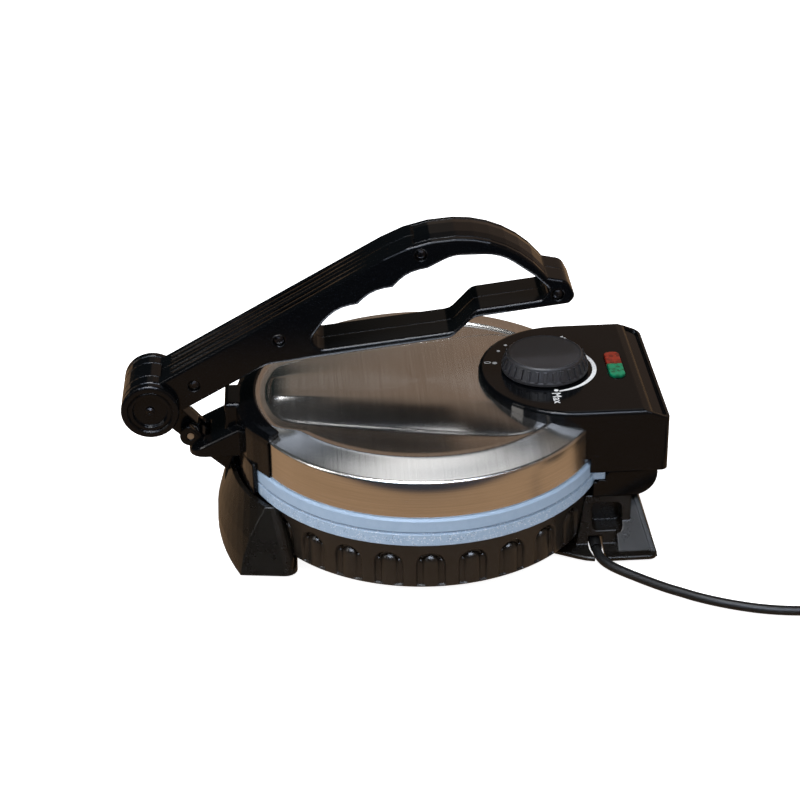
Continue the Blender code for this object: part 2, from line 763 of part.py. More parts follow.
def make_upper_plate():
    profile = list(reversed(plate_profile(UPPER_FACE, UPPER_RING_TOP, UPPER_FACE + PLATE_THICKNESS)))
    plate = as_part(turned("upper_plate", profile, (0, 0, 0)), "upper_coating", "lid_hinge")
    inner = HINGE_INNER + HINGE_EAR + CLEARANCE * 2
    root = math.sqrt((PLATE_RADIUS - RIM_WIDTH * HALF) ** 2 - (inner + HINGE_ARM) ** 2)
    low = UPPER_FACE + PLATE_EDGE
    outline = hinge_eye_outline(root, low, UPPER_RING_TOP - PLATE_EDGE, HINGE_EYE)
    arms = []
    holes = []
    for side in (-1, 1):
        near, far = sorted((side * inner, side * (inner + HINGE_ARM)))
        arms.append(flat("arm", [outline], near, far, upright=True))
        holes.append(cylinder("hole", HINGE_PIN + RUNNING, near - OVERRUN, far + OVERRUN,
                              (HINGE_X, 0, HINGE_Z), axis="Y"))
    as_cutter(joined("upper_plate_arms", arms), plate, "UNION")
    as_cutter(joined("upper_plate_eyes", holes), plate)


def element_route(height, rise):
    """A ring that stays open at the back, with both ends bent up or down to the terminals."""
    points = []
    start = (TURN - ELEMENT_ARC) * HALF
    for step in range(ELEMENT_STEPS + 1):
        angle = start + ELEMENT_ARC * step / ELEMENT_STEPS
        points.append(Vector((math.cos(angle), math.sin(angle), 0)) * ELEMENT_RADIUS
                      + Vector((0, 0, height)))
    bend = ELEMENT_ROD * 2
    for end, inner in ((0, 1), (-1, -2)):
        along = (points[end] - points[inner]).normalized()
        turn_point = points[end] + along * bend + Vector((0, 0, rise * bend))
        tail = turn_point + Vector((0, 0, rise * (ELEMENT_TAIL - bend)))
        if end == 0:
            points = [tail, turn_point] + points
        else:
            points = points + [turn_point, tail]
    return points


def make_elements():
    seat = ELEMENT_ROD + CLEARANCE
    lower = LOWER_FACE - PLATE_THICKNESS - seat
    upper = UPPER_FACE + PLATE_THICKNESS + seat
    for name, height, rise, body in (("lower_element", lower, 0, "base"),
                                     ("upper_element", upper, 1, "lid_hinge")):
        route = element_route(height, rise)
        rod = tube(name, route, ELEMENT_ROD, at(0, 0, 0))
        as_part(baked(rod), "zinc", body)


def make_heat_shield():
    top = LOWER_FACE - PLATE_THICKNESS - CLEARANCE
    bottom = top - SHIELD_DEPTH
    profile = [
        (0, bottom + SHIELD_SHEET),
        (SHIELD_RADIUS - SHIELD_SHEET, bottom + SHIELD_SHEET),
        (SHIELD_RADIUS - SHIELD_SHEET, top),
        (SHIELD_RADIUS, top),
        (SHIELD_RADIUS, bottom),
        (0, bottom),
    ]
    as_part(turned("heat_shield", profile, (0, 0, 0), steps=SHIELD_STEPS), "zinc", "base")



def bowl_radius(height):
    share = (height - BOWL_BOTTOM) / (BOWL_TOP - BOWL_BOTTOM)
    return BOWL_BOTTOM_RADIUS + (BOWL_TOP_RADIUS - BOWL_BOTTOM_RADIUS) * share


def make_bowl():
    """The fluted bowl: a turned shell with an inner ledge, cut by a row of arches on each side."""
    ledge_low = BOWL_BOTTOM + LEDGE_RAISE
    ledge_high = ledge_low + LEDGE_HEIGHT
    profile = [
        (BOWL_TOP_RADIUS - BOWL_WALL, BOWL_TOP),
        (BOWL_TOP_RADIUS, BOWL_TOP),
        (BOWL_BOTTOM_RADIUS, BOWL_BOTTOM),
        (BOWL_BOTTOM_RADIUS - BOWL_WALL, BOWL_BOTTOM),
        (bowl_radius(ledge_low) - BOWL_WALL, ledge_low),
        (bowl_radius(ledge_low) - BOWL_WALL - LEDGE_WIDTH, ledge_low),
        (bowl_radius(ledge_low) - BOWL_WALL - LEDGE_WIDTH, ledge_high),
        (bowl_radius(ledge_high) - BOWL_WALL, ledge_high),
    ]
    bowl = as_part(turned("base_bowl", profile, (0, 0, 0), steps=ROUND_STEPS, closed=True),
                   "satin_black", "base")
    flutes = []
    for side in (-1, 1):
        for index in range(FLUTES_PER_SIDE):
            step = index - (FLUTES_PER_SIDE - 1) * HALF
            angle = FLUTE_SHIFT + FLUTE_PITCH * step
            flutes.append(flute_cutter(angle, side))
    as_cutter(joined("flutes", flutes), bowl)


def flute_cutter(angle, side):
    """An arch that stands across the wall, less the rib that stays in it."""
    half = FLUTE_WIDTH * HALF
    spring = FLUTE_TOP - half
    arch = [Vector((-half, BOWL_BOTTOM - OVERRUN)), Vector((half, BOWL_BOTTOM - OVERRUN))]
    steps = ARCH_STEPS
    for step in range(steps + 1):
        bend = math.pi * step / steps
        arch.append(Vector((half * math.cos(bend), spring + half * math.sin(bend))))
    inner = BOWL_BOTTOM_RADIUS - FLUTE_DEPTH
    outer = BOWL_TOP_RADIUS + OVERRUN
    cutter = flat("flute", [arch], inner, outer, upright=True)
    cutter.data.transform(Matrix.Translation((0, (inner + outer) * HALF, 0)))
    cutter.location = Vector((0, 0, 0))
    rib_top = FLUTE_TOP - RIB_RADIUS
    rib = cylinder("rib", RIB_RADIUS, BOWL_BOTTOM - OVERRUN * 2, rib_top,
                   (0, BOWL_BOTTOM_RADIUS - RIB_SINK - FLUTE_DEPTH * HALF, 0), steps=TINY_ROUND_STEPS)
    rib.location = rib.location - Vector((PLATE_X, 0, 0))
    bpy.data.scenes["bench"].collection.objects.link(rib)
    carve = cutter.modifiers.new("rib", "BOOLEAN")
    carve.object = rib
    carve.solver = "EXACT"
    made = baked(cutter)
    bpy.data.objects.remove(rib, do_unlink=True)
    spin = Matrix.Rotation(-angle, 4, "Z")
    flip = Matrix.Scale(side, 4, Vector((0, 1, 0)))
    made.data.transform(flip @ spin)
    if side < 0:
        made.data.flip_normals()
    made.location = at(0, 0, 0)
    return made


def make_bottom_cover():
    top = BOWL_BOTTOM + LEDGE_RAISE - CLEARANCE
    radius = bowl_radius(top - COVER_THICKNESS) - BOWL_WALL - CLEARANCE
    cover = cylinder("bottom_cover", radius, top - COVER_THICKNESS, top, (0, 0, 0), steps=ROUND_STEPS)
    as_part(cover, "satin_black", "base")


def bowl_clearance(name):
    """The room that the bowl takes, with its clearance, for cutting what hugs it."""
    low = BOWL_BOTTOM - CLEARANCE
    high = BOWL_TOP + OVERRUN
    return cylinder(name, bowl_radius(low) + CLEARANCE, low, high, (0, 0, 0), steps=ROUND_STEPS,
                    tip=bowl_radius(high) + CLEARANCE)


def stand_loop(level, inset=0):
    """One level of the front stand: an arc across the nose, then the two sides and the back."""
    height, nose, corner_x, corner_y, back_x, back_y = level
    nose += PLATE_RADIUS - inset
    corner_x += PLATE_RADIUS - inset
    corner_y -= inset
    back_x += PLATE_RADIUS - inset
    back_y -= inset
    depth = nose - corner_x
    radius = (corner_y ** 2 + depth ** 2) / (2 * depth)
    centre = nose - radius
    spread = math.asin(corner_y / radius)
    loop = []
    for step in range(STAND_NOSE_STEPS + 1):
        angle = -spread + 2 * spread * step / STAND_NOSE_STEPS
        loop.append(Vector((-centre - radius * math.cos(angle), radius * math.sin(angle), height)))
    back = fillet((-corner_x, corner_y), (-back_x, back_y), (-back_x, 0), STAND_CORNER,
                  STAND_CORNER_STEPS)
    loop.extend(Vector((point.x, point.y, height)) for point in back)
    loop.extend(Vector((point.x, -point.y, height)) for point in reversed(back))
    return loop


def make_front_stand():
    stand = loft("front_stand", [stand_loop(level) for level in STAND_LEVELS])
    as_part(stand, "satin_black", "base")
    floor = STAND_BOTTOM + STAND_FLOOR
    bottom, *upper = STAND_LEVELS
    top = (upper[-1][0] + OVERRUN, *upper[-1][1:])
    levels = [(floor, *bottom[1:]), *upper, top]
    hollow = loft("front_stand_hollow", [stand_loop(level, STAND_WALL) for level in levels])
    as_cutter(hollow, stand)
    as_cutter(bowl_clearance("front_stand_bowl"), stand)
    nose = PLATE_RADIUS + STAND_LEVELS[0][1] + OVERRUN
    notch = box("front_stand_notch", (-nose, -NOTCH_HALF, NOTCH_BOTTOM),
                (TOE_TIP_X, NOTCH_HALF, STAND_LEVELS[-1][0] + OVERRUN))
    as_cutter(notch, stand)


def rectangle_loop(x_range, half, height):
    low, high = x_range
    return [Vector((low, -half, height)), Vector((high, -half, height)),
            Vector((high, half, height)), Vector((low, half, height))]


def make_rear_stand():
    low = STAND_BOTTOM
    outline = rounded([
        (FOOT_FRONT_X, -FOOT_FRONT_HALF, 0),
        (FOOT_FRONT_X + FOOT_NOSE_ROUND, -FOOT_SIDE_HALF, FOOT_NOSE_ROUND),
        (WING_FOOT_X, -FOOT_SIDE_HALF, FOOT_CORNER_ROUND),
        (WING_FOOT_X, FOOT_SIDE_HALF, FOOT_CORNER_ROUND),
        (FOOT_FRONT_X + FOOT_NOSE_ROUND, FOOT_SIDE_HALF, FOOT_NOSE_ROUND),
        (FOOT_FRONT_X, FOOT_FRONT_HALF, 0),
    ])
    stand = flat("rear_stand", [outline], low, low + FOOT_THICKNESS, edge=PLATE_EDGE)
    as_part(stand, "satin_black", "base")
    inside = low + PLATE_EDGE
    pillar = loft("rear_stand_pillar", [
        rectangle_loop(PILLAR_FOOT_X, PILLAR_FOOT_HALF, inside),
        rectangle_loop(PILLAR_TOP_X, PILLAR_TOP_HALF, REAR_TOP),
    ])
    as_cutter(pillar, stand, "UNION")
    wing = loft("rear_stand_wing", [
        rectangle_loop((WING_FOOT_X - WING_THICKNESS, WING_FOOT_X), WING_FOOT_HALF, inside),
        rectangle_loop((WING_TOP_X - WING_THICKNESS, WING_TOP_X), WING_TOP_HALF, WING_TOP),
    ])
    as_cutter(wing, stand, "UNION")
    web_front = PILLAR_FOOT_X[1] - OVERRUN * 2
    web = loft("rear_stand_web", [
        rectangle_loop((web_front, WING_FOOT_X - WING_THICKNESS * HALF), WING_FOOT_HALF - WEB_MARGIN, inside),
        rectangle_loop((web_front, WING_TOP_X - WING_THICKNESS * HALF), WING_TOP_HALF - WEB_MARGIN,
                       WING_TOP - WEB_MARGIN),
    ])
    as_cutter(web, stand, "UNION")
    as_cutter(bowl_clearance("rear_stand_bowl"), stand)
    recesses = []
    for side in (-1, 1):
        near, far = sorted((side * (PILLAR_TOP_HALF - RECESS_DEPTH), side * FOOT_SIDE_HALF))
        window = rectangle((RECESS_X[0], RECESS_Z[0]), (RECESS_X[1], RECESS_Z[1]), RECESS_ROUND)
        recesses.append(flat("recess", [window], near, far, upright=True))
    as_cutter(joined("rear_stand_recesses", recesses), stand)
    as_cutter(flat("rear_stand_cord_notch", [exit_outline()], 0, EXIT_TOP), stand)


def exit_outline():
    """The slot in the rear stand: straight round the strain relief, then along the cord's bend."""
    near, far = [], []
    for start, end in zip(CORD_ROUTE, CORD_ROUTE[1:]):
        along = (Vector(end[:2]) - Vector(start[:2])).normalized()
        across = Vector((-along.y, along.x)) * (CORD_RADIUS + EXIT_MARGIN)
        if start[1] < -FOOT_SIDE_HALF - OVERRUN * 2:
            break
        centre = Vector((EXIT_X + start[0], start[1]))
        near.append(centre - across)
        far.append(centre + across)
    room = RELIEF_ROOT_RADIUS + RUNNING
    inner = -RELIEF_START + CLEARANCE
    sleeve_end = -RELIEF_END - EXIT_MARGIN
    left = [(EXIT_X - room, inner), (EXIT_X - room, sleeve_end)]
    right = [(EXIT_X + room, inner), (EXIT_X + room, sleeve_end)]
    return left + near[1:] + list(reversed(far[1:])) + list(reversed(right))


def make_feet():
    places = []
    for x, y in (FRONT_RUBBER, REAR_RUBBER):
        places.extend([(x, -y), (x, y)])
    for index, (x, y) in enumerate(places):
        foot = cylinder(f"rubber_foot_{index + 1}", RUBBER_RADIUS, 0, RUBBER_HEIGHT, (x, y, 0))
        as_part(foot, "rubber", "base")


def make_rear_box():
    """The lower rear box, round at the back, with the two hinge ears on it."""
    outline = rounded([
        (BOX_NOTCH_X[1], BOX_TOP, 0),
        (BOX_NOTCH_X[0], BOX_NOTCH_Z, 0),
        (BOX_FRONT_X, BOX_NOTCH_Z, 0),
        (BOX_FRONT_X, BOX_BOTTOM, 0),
        (BOX_REAR_X, BOX_BOTTOM, BOX_ROUND),
        (BOX_REAR_X, BOX_TOP, PLATE_EDGE),
    ])
    rear = flat("rear_box", [outline], -BOX_HALF, BOX_HALF, upright=True)
    as_part(rear, "glossy_black", "base")
    cavity = flat("rear_box_cavity", [rounded([
        (BOX_CAVITY_X[0], BOX_BOTTOM + BOX_WALL, 0),
        (BOX_CAVITY_X[1], BOX_BOTTOM + BOX_WALL, BOX_ROUND - BOX_WALL),
        (BOX_CAVITY_X[1], BOX_TOP + OVERRUN, 0),
        (BOX_CAVITY_X[0], BOX_TOP + OVERRUN, 0),
    ])], -BOX_HALF + BOX_WALL, BOX_HALF - BOX_WALL, upright=True)
    as_cutter(cavity, rear)
    ears = []
    holes = []
    floor = BOX_BOTTOM + BOX_WALL
    eye_front = HINGE_X - HINGE_EYE
    root = BOX_REAR_X - BOX_WALL * 2
    outline = [
        Vector((BOX_CAVITY_X[1] - BOX_ROUND * HALF, floor + BOX_WALL)),
        Vector((root, floor + BOX_WALL + BOX_WALL)),
        Vector((BOX_REAR_X - BOX_WALL * HALF, BOX_TOP - BOX_WALL)),
    ]
    steps = round(math.pi / FILLET_STEP)
    for step in range(steps + 1):
        angle = math.pi * step / steps
        outline.append(Vector((HINGE_X + HINGE_EYE * math.cos(angle),
                               HINGE_Z + HINGE_EYE * math.sin(angle))))
    outline.append(Vector((eye_front - BOX_WALL, BOX_TOP - BOX_WALL * 2)))
    for side in (-1, 1):
        near, far = sorted((side * HINGE_INNER, side * (HINGE_INNER + HINGE_EAR)))
        ears.append(flat("ear", [outline], near, far, upright=True))
        holes.append(cylinder("hole", HINGE_PIN + RUNNING, near - OVERRUN, far + OVERRUN,
                              (HINGE_X, 0, HINGE_Z), axis="Y"))
    as_cutter(joined("rear_box_ears", ears), rear, "UNION")
    as_cutter(joined("rear_box_eyes", holes), rear)
    room = cylinder("rear_box_ring", PLATE_RADIUS + RUNNING, BOX_BOTTOM - OVERRUN, BOX_TOP + OVERRUN,
                    (0, 0, 0), steps=ROUND_STEPS)
    as_cutter(room, rear)
    tab_rooms = []
    inner, outer = PLATE_TAB_HALF
    for side in (-1, 1):
        low, high = sorted((side * (inner - RUNNING), side * (BOX_HALF + OVERRUN)))
        tab_rooms.append(box("room", (BOX_FRONT_X, low, PLATE_TAB_Z[0] - RUNNING),
                             (PLATE_TAB_X + RUNNING, high, BOX_TOP + OVERRUN)))
    as_cutter(joined("rear_box_tab_rooms", tab_rooms), rear)


def make_hinge_pins():
    inner = HINGE_INNER - RUNNING
    outer = HINGE_INNER + HINGE_EAR + HINGE_ARM + CLEARANCE * 2 + RUNNING
    for name, side in (("hinge_pin_near", -1), ("hinge_pin_far", 1)):
        low, high = sorted((side * inner, side * outer))
        pin = cylinder(name, HINGE_PIN, low, high, (HINGE_X, 0, HINGE_Z), axis="Y")
        as_part(pin, "zinc", "base")


def make_terminal_block():
    depth, width, height = BLOCK_SIZE
    low = BOWL_BOTTOM + LEDGE_RAISE
    block = box("terminal_block", (BLOCK_X - depth, -width * HALF, low), (BLOCK_X, width * HALF, low + height))
    as_part(block, "white_nylon", "base")



def polar(angle, half, spread):
    """How far from the middle the straight side of the raised top lies at this angle."""
    along, across = math.cos(angle), abs(math.sin(angle))
    slant = across - spread * along
    return half / slant if slant > 0 else math.inf


def softly_least(values):
    total = sum(value ** -OUTLINE_POWER for value in values if value != math.inf)
    return total ** (-1 / OUTLINE_POWER)


def from_front(angle):
    """The angle away from the handle side, from 0 to half a turn."""
    return math.pi - abs((angle + math.pi) % TURN - math.pi)


def crease_radius(angle):
    plain = CREASE_RADIUS + CREASE_SPREAD * math.cos(angle) ** 2
    share = 1 - smooth_between(from_front(angle), FRONT_SECTOR, FRONT_SECTOR + FRONT_FADE)
    return plain + (CREASE_FRONT_RADIUS - plain) * share


def cover_loops(grow=0, low=COVER_SEAT):
    """Levels of the lid cover's outer surface, each point moved outwards and up by grow."""
    lift = max(grow, 0) * HALF

    def ring(radius_at, height):
        loop = []
        for step in range(ROUND_STEPS):
            angle = TURN * step / ROUND_STEPS
            radius = radius_at(angle)
            loop.append(Vector((radius * math.cos(angle), radius * math.sin(angle), height)))
        return loop

    def slope_foot(angle):
        crease = crease_radius(angle) - CREASE_STEP * 2
        return softly_least([crease, polar(angle, SLOPE_HALF, SLOPE_SPREAD_SHARE), SLOPE_FRONT_RADIUS])

    def shoulder(angle):
        inside = slope_foot(angle) - PLATEAU_EDGE
        line = polar(angle, PLATEAU_HALF, PLATEAU_SPREAD_SHARE)
        end = PLATEAU_FRONT_RADIUS if math.cos(angle) < 0 else PLATEAU_REAR_RADIUS
        return min(inside, softly_least([line, end]))

    return [
        ring(lambda angle: COVER_SEAT_RADIUS + grow, low),
        ring(lambda angle: COVER_SHOULDER_RADIUS + grow, COVER_SHOULDER + grow),
        ring(lambda angle: COVER_RIM_RADIUS + grow, COVER_RIM + grow),
        ring(lambda angle: COVER_LIP_RADIUS + grow, COVER_LIP + grow),
        ring(lambda angle: crease_radius(angle) + lift, CREASE_HEIGHT + grow),
        ring(lambda angle: crease_radius(angle) - CREASE_STEP - lift, CRESCENT_HEIGHT + grow),
        ring(slope_foot, CRESCENT_HEIGHT + grow),
        ring(shoulder, PLATEAU_SHOULDER + grow),
        ring(lambda angle: shoulder(angle) - PLATEAU_EDGE, PLATEAU_HEIGHT + grow),
    ]


def make_lid_cover():
    cover = loft("lid_cover", cover_loops(), split=True)
    as_part(cover, "brushed_steel", "lid_hinge")
    hollow = loft("lid_cover_hollow", cover_loops(-COVER_SHEET, COVER_SEAT - OVERRUN), split=True)
    as_cutter(hollow, cover)
    hole = cylinder("lid_cover_shaft_hole", SHAFT_HOLE, CRESCENT_HEIGHT, HOUSING_TOP, (KNOB_X, 0, 0))
    as_cutter(hole, cover)


def housing_outline():
    nose_centre = HOUSING_NOSE_X + HOUSING_NOSE_LENGTH
    steps = round(math.pi / FILLET_STEP) * 2
    points = rounded([
        (nose_centre, -HOUSING_HALF, 0),
        (HOUSING_REAR_X, -HOUSING_HALF, HOUSING_CORNER),
        (HOUSING_REAR_X, HOUSING_HALF, HOUSING_CORNER),
        (nose_centre, HOUSING_HALF, 0),
    ])
    for step in range(1, steps):
        angle = math.pi * HALF + math.pi * step / steps
        points.append(Vector((nose_centre + HOUSING_NOSE_LENGTH * math.cos(angle),
                              HOUSING_HALF * math.sin(angle))))
    return points


def make_rear_housing():
    """The dial housing: a hood with a rounded nose that follows the lid cover under it."""
    outline = housing_outline()
    low = HOUSING_BOTTOM - HOUSING_EDGE
    housing = flat("rear_housing", [outline], low, HOUSING_TOP, edge=HOUSING_EDGE)
    as_part(housing, "glossy_black", "lid_hinge")
    foot = box("rear_housing_foot", (0, -PLATE_RADIUS, low - OVERRUN),
               (HOUSING_REAR_X + OVERRUN, PLATE_RADIUS, HOUSING_BOTTOM))
    as_cutter(foot, housing)
    slope = math.atan2(BAND_DROP, HOUSING_REAR_X - BAND_X)
    reach = HOUSING_REAR_X - BAND_X + OVERRUN * 3
    band = bmesh.new()
    bmesh.ops.create_cube(band, size=1)
    bmesh.ops.scale(band, vec=(reach * 2, HOUSING_HALF * 2 + OVERRUN * 2, reach), verts=band.verts)
    bmesh.ops.translate(band, vec=(reach, 0, reach * HALF), verts=band.verts)
    bmesh.ops.rotate(band, matrix=Matrix.Rotation(slope, 3, "Y"), cent=(0, 0, 0), verts=band.verts)
    as_cutter(from_bmesh("rear_housing_band", band, at(BAND_X, 0, HOUSING_TOP)), housing)
    ceiling = HOUSING_TOP - HOUSING_WALL
    front = flat("rear_housing_hollow", [outline], low - OVERRUN, ceiling, inset=HOUSING_WALL)
    as_cutter(front, housing)
    fill_x = BAND_X + HOUSING_WALL
    slab_low = HOUSING_TOP - BAND_DROP
    slab = flat_band("rear_housing_band_sheet", fill_x, slab_low)
    as_cutter(slab, housing, "UNION")
    lid = loft("rear_housing_lid", cover_loops(CLEARANCE, COVER_SEAT - CLEARANCE - OVERRUN),
               split=True)
    as_cutter(lid, housing)
    ring = cylinder("rear_housing_ring", PLATE_RADIUS + RUNNING, HOUSING_BOTTOM - OVERRUN * 2,
                    COVER_SEAT + OVERRUN, (0, 0, 0), steps=ROUND_STEPS)
    as_cutter(ring, housing)
    slots = []
    for side in (-1, 1):
        inner = HINGE_INNER - HINGE_SLOT_MARGIN
        outer = HINGE_INNER + HINGE_EAR + HINGE_ARM + HINGE_SLOT_MARGIN + CLEARANCE * 2
        near, far = sorted((side * inner, side * outer))
        slots.append(box("slot", (HINGE_X - HINGE_EYE * 2, near, HOUSING_BOTTOM - OVERRUN),
                         (HOUSING_REAR_X + OVERRUN, far, HINGE_SLOT_TOP)))
    as_cutter(joined("rear_housing_slots", slots), housing)
    hole = cylinder("rear_housing_shaft_hole", SHAFT_HOLE, CRESCENT_HEIGHT, HOUSING_TOP + OVERRUN,
                    (KNOB_X, 0, 0))
    as_cutter(hole, housing)
    window = flat("rear_housing_lamp_window", [lamp_outline(CLEARANCE)], ceiling - OVERRUN,
                  HOUSING_TOP + OVERRUN)
    as_cutter(window, housing)


def flat_band(name, start, low):
    """The wall under the sloping band at the back of the housing."""
    outline = [
        Vector((start, HOUSING_TOP - HOUSING_WALL * HALF - (start - BAND_X) * BAND_DROP
                / (HOUSING_REAR_X - BAND_X))),
        Vector((BAND_X - HOUSING_WALL, HOUSING_TOP - HOUSING_WALL * HALF)),
        Vector((BAND_X - HOUSING_WALL, HOUSING_TOP - HOUSING_WALL - HOUSING_WALL * HALF)),
        Vector((HOUSING_REAR_X - HOUSING_WALL * HALF, low - HOUSING_WALL * 2)),
        Vector((HOUSING_REAR_X - HOUSING_WALL * HALF, low - HOUSING_WALL * HALF)),
    ]
    half = HOUSING_HALF - HOUSING_WALL * HALF
    return flat(name, [outline], -half, half, upright=True)


def lamp_outline(grow):
    half_width = LAMP_HALF_WIDTH + grow
    half_length = LAMP_HALF_LENGTH + grow
    return rectangle((LAMP_X - half_width, -half_length), (LAMP_X + half_width, half_length),
                     half_width - PLATE_EDGE)


def make_lamps():
    """Two half lenses side by side in one pill-shaped window, over a common holder."""
    low = HOUSING_TOP - HOUSING_WALL
    for name, side in (("red_lens", 1), ("green_lens", -1)):
        lens = flat(name, [lamp_outline(0)], low, HOUSING_TOP + LAMP_RISE, edge=PLATE_EDGE * HALF)
        as_part(lens, name, "lid_hinge")
        far = (LAMP_HALF_LENGTH + OVERRUN) * side
        near = -side * LAMP_SEAM * HALF + side * LAMP_SEAM
        low_y, high_y = sorted((near, -far))
        away = box(name + "_half", (LAMP_X - LAMP_HALF_WIDTH * 2, low_y, low - OVERRUN),
                   (LAMP_X + LAMP_HALF_WIDTH * 2, high_y, HOUSING_TOP + OVERRUN * 2))
        as_cutter(away, lens)
    half_x = LAMP_HALF_WIDTH + HOLDER_MARGIN
    half_y = LAMP_HALF_LENGTH + HOLDER_MARGIN
    top = low - CLEARANCE
    holder = box("lamp_holder", (LAMP_X - half_x, -half_y, top - HOLDER_HEIGHT), (LAMP_X + half_x, half_y, top))
    as_part(holder, "white_nylon", "lid_hinge")


def sector_loft(name, stations, section_at):
    """A solid swept round the front of the plates: one closed section at each angle."""
    loops = []
    for angle in stations:
        loop = []
        for radius, height in section_at(angle):
            loop.append(Vector((-radius * math.cos(angle), radius * math.sin(angle), height)))
        loops.append(loop)
    return loft(name, loops)


def insert_section(angle):
    edge = abs(angle)
    share = smooth_between(INSERT_ANGLE - edge, 0, INSERT_BULGE_ANGLE)
    bulge = INSERT_BULGE * share
    outer = INSERT_EDGE_RADIUS + bulge
    inner = COVER_SEAT_RADIUS + CLEARANCE * 2
    return [
        (INSERT_INNER_RADIUS, INSERT_TOP_INNER),
        (INSERT_SHOULDER_RADIUS + bulge * HALF, INSERT_TOP_OUTER),
        (outer - PLATE_EDGE * HALF, INSERT_SHOULDER + PLATE_EDGE),
        (outer, INSERT_SHOULDER - PLATE_EDGE * 2),
        (outer, INSERT_SEAT),
        (inner, INSERT_SEAT),
        (inner, COVER_RIM + CLEARANCE),
        (COVER_LIP_RADIUS, COVER_LIP + CLEARANCE * 2),
        (INSERT_INNER_RADIUS, COVER_LIP + CLEARANCE * 2 + (CREASE_HEIGHT - COVER_LIP)),
    ]


def hood_top(x):
    """Height of the hood's sloping top sheet."""
    share = (-x - HOOD_ROOT_X) / (HOOD_FRONT_X - HOOD_ROOT_X)
    return HOOD_ROOT_TOP + (HOOD_FRONT_TOP - HOOD_ROOT_TOP) * share


def hood_loop(inset, drop):
    """The hood's plan outline, at its flat bottom or at a drop below its sloping top."""
    half = HOOD_HALF - inset
    front = -HOOD_FRONT_X + inset
    outline = rounded([
        (-HOOD_ROOT_X, half, 0),
        (-HOOD_ROOT_X, -half, 0),
        (front, -half, HOOD_CORNER - inset),
        (front, half, HOOD_CORNER - inset),
    ])
    if drop is None:
        return [Vector((point[0], point[1], HOOD_BOTTOM)) for point in outline]
    return [Vector((point[0], point[1], hood_top(point[0]) - drop)) for point in outline]


def make_front_bracket():
    """The curved insert over the lid's rim, with a hood that holds the press arm's pivot."""
    stations = [-INSERT_ANGLE + 2 * INSERT_ANGLE * step / INSERT_STEPS for step in range(INSERT_STEPS + 1)]
    bracket = sector_loft("front_bracket", stations, insert_section)
    as_part(bracket, "glossy_black", "lid_hinge")
    stations = [-SKIRT_ANGLE + 2 * SKIRT_ANGLE * step / INSERT_STEPS for step in range(INSERT_STEPS + 1)]
    skirt = sector_loft("front_bracket_skirt", stations, lambda angle: [
        (SKIRT_INNER_RADIUS, SKIRT_TOP), (SKIRT_OUTER_RADIUS, SKIRT_TOP),
        (SKIRT_OUTER_RADIUS, SKIRT_BOTTOM), (SKIRT_INNER_RADIUS, SKIRT_BOTTOM)])
    as_cutter(skirt, bracket, "UNION")
    as_cutter(loft("front_bracket_hood", [
        hood_loop(0, None),
        hood_loop(0, HOOD_EDGE),
        hood_loop(HOOD_EDGE, 0),
    ]), bracket, "UNION")
    hump_view = rounded([
        (-HOOD_ROOT_X, HUMP_TOP, 0),
        (-HUMP_X, HUMP_TOP, HUMP_EDGE),
        (-HUMP_X, HOOD_BOTTOM + HOOD_EDGE, 0),
        (-HOOD_ROOT_X, HOOD_BOTTOM + HOOD_EDGE, 0),
    ])
    hump = flat("front_bracket_hump", [hump_view], -HUMP_HALF, HUMP_HALF, edge=HUMP_EDGE, upright=True)
    as_cutter(hump, bracket, "UNION")
    lugs = []
    lug_root = PIVOT[0] + LUG_RADIUS + HOOD_SHEET
    lug_outline = [
        Vector((lug_root, hood_top(lug_root) - HOOD_SHEET * HALF)),
        Vector((lug_root, HOOD_BOTTOM + HOOD_SHEET * HALF)),
    ]
    steps = round(math.pi / FILLET_STEP)
    for step in range(steps + 1):
        angle = -math.pi * HALF - math.pi * step / steps
        lug_outline.append(Vector((PIVOT[0] + LUG_RADIUS * math.cos(angle),
                                   PIVOT[1] + LUG_RADIUS * math.sin(angle))))
    holes = []
    for side in (-1, 1):
        near, far = sorted((side * (LUG_INNER - RUNNING), side * (LUG_INNER + LUG_WIDTH)))
        lugs.append(flat("lug", [lug_outline], near, far, upright=True))
        holes.append(cylinder("hole", PIVOT_PIN + CLEARANCE, near - OVERRUN, far + OVERRUN,
                              (PIVOT[0], 0, PIVOT[1]), axis="Y"))
    as_cutter(joined("front_bracket_lugs", lugs), bracket, "UNION")
    as_cutter(joined("front_bracket_bores", holes), bracket)
    front = -HOOD_FRONT_X - OVERRUN * 2
    back = -SKIRT_INNER_RADIUS + OVERRUN
    slot = PIVOT[0] + SLOT_REACH
    hollow_view = [
        (front, SKIRT_BOTTOM - OVERRUN),
        (back, SKIRT_BOTTOM - OVERRUN),
        (back, hood_top(slot) - HOOD_SHEET),
        (slot, hood_top(slot) - HOOD_SHEET),
        (slot, HUMP_TOP),
        (front, HUMP_TOP),
    ]
    as_cutter(flat("front_bracket_hollow", [hollow_view], -LUG_INNER, LUG_INNER, upright=True), bracket)



def toward(start, end):
    return (Vector(end) - Vector(start)).normalized()


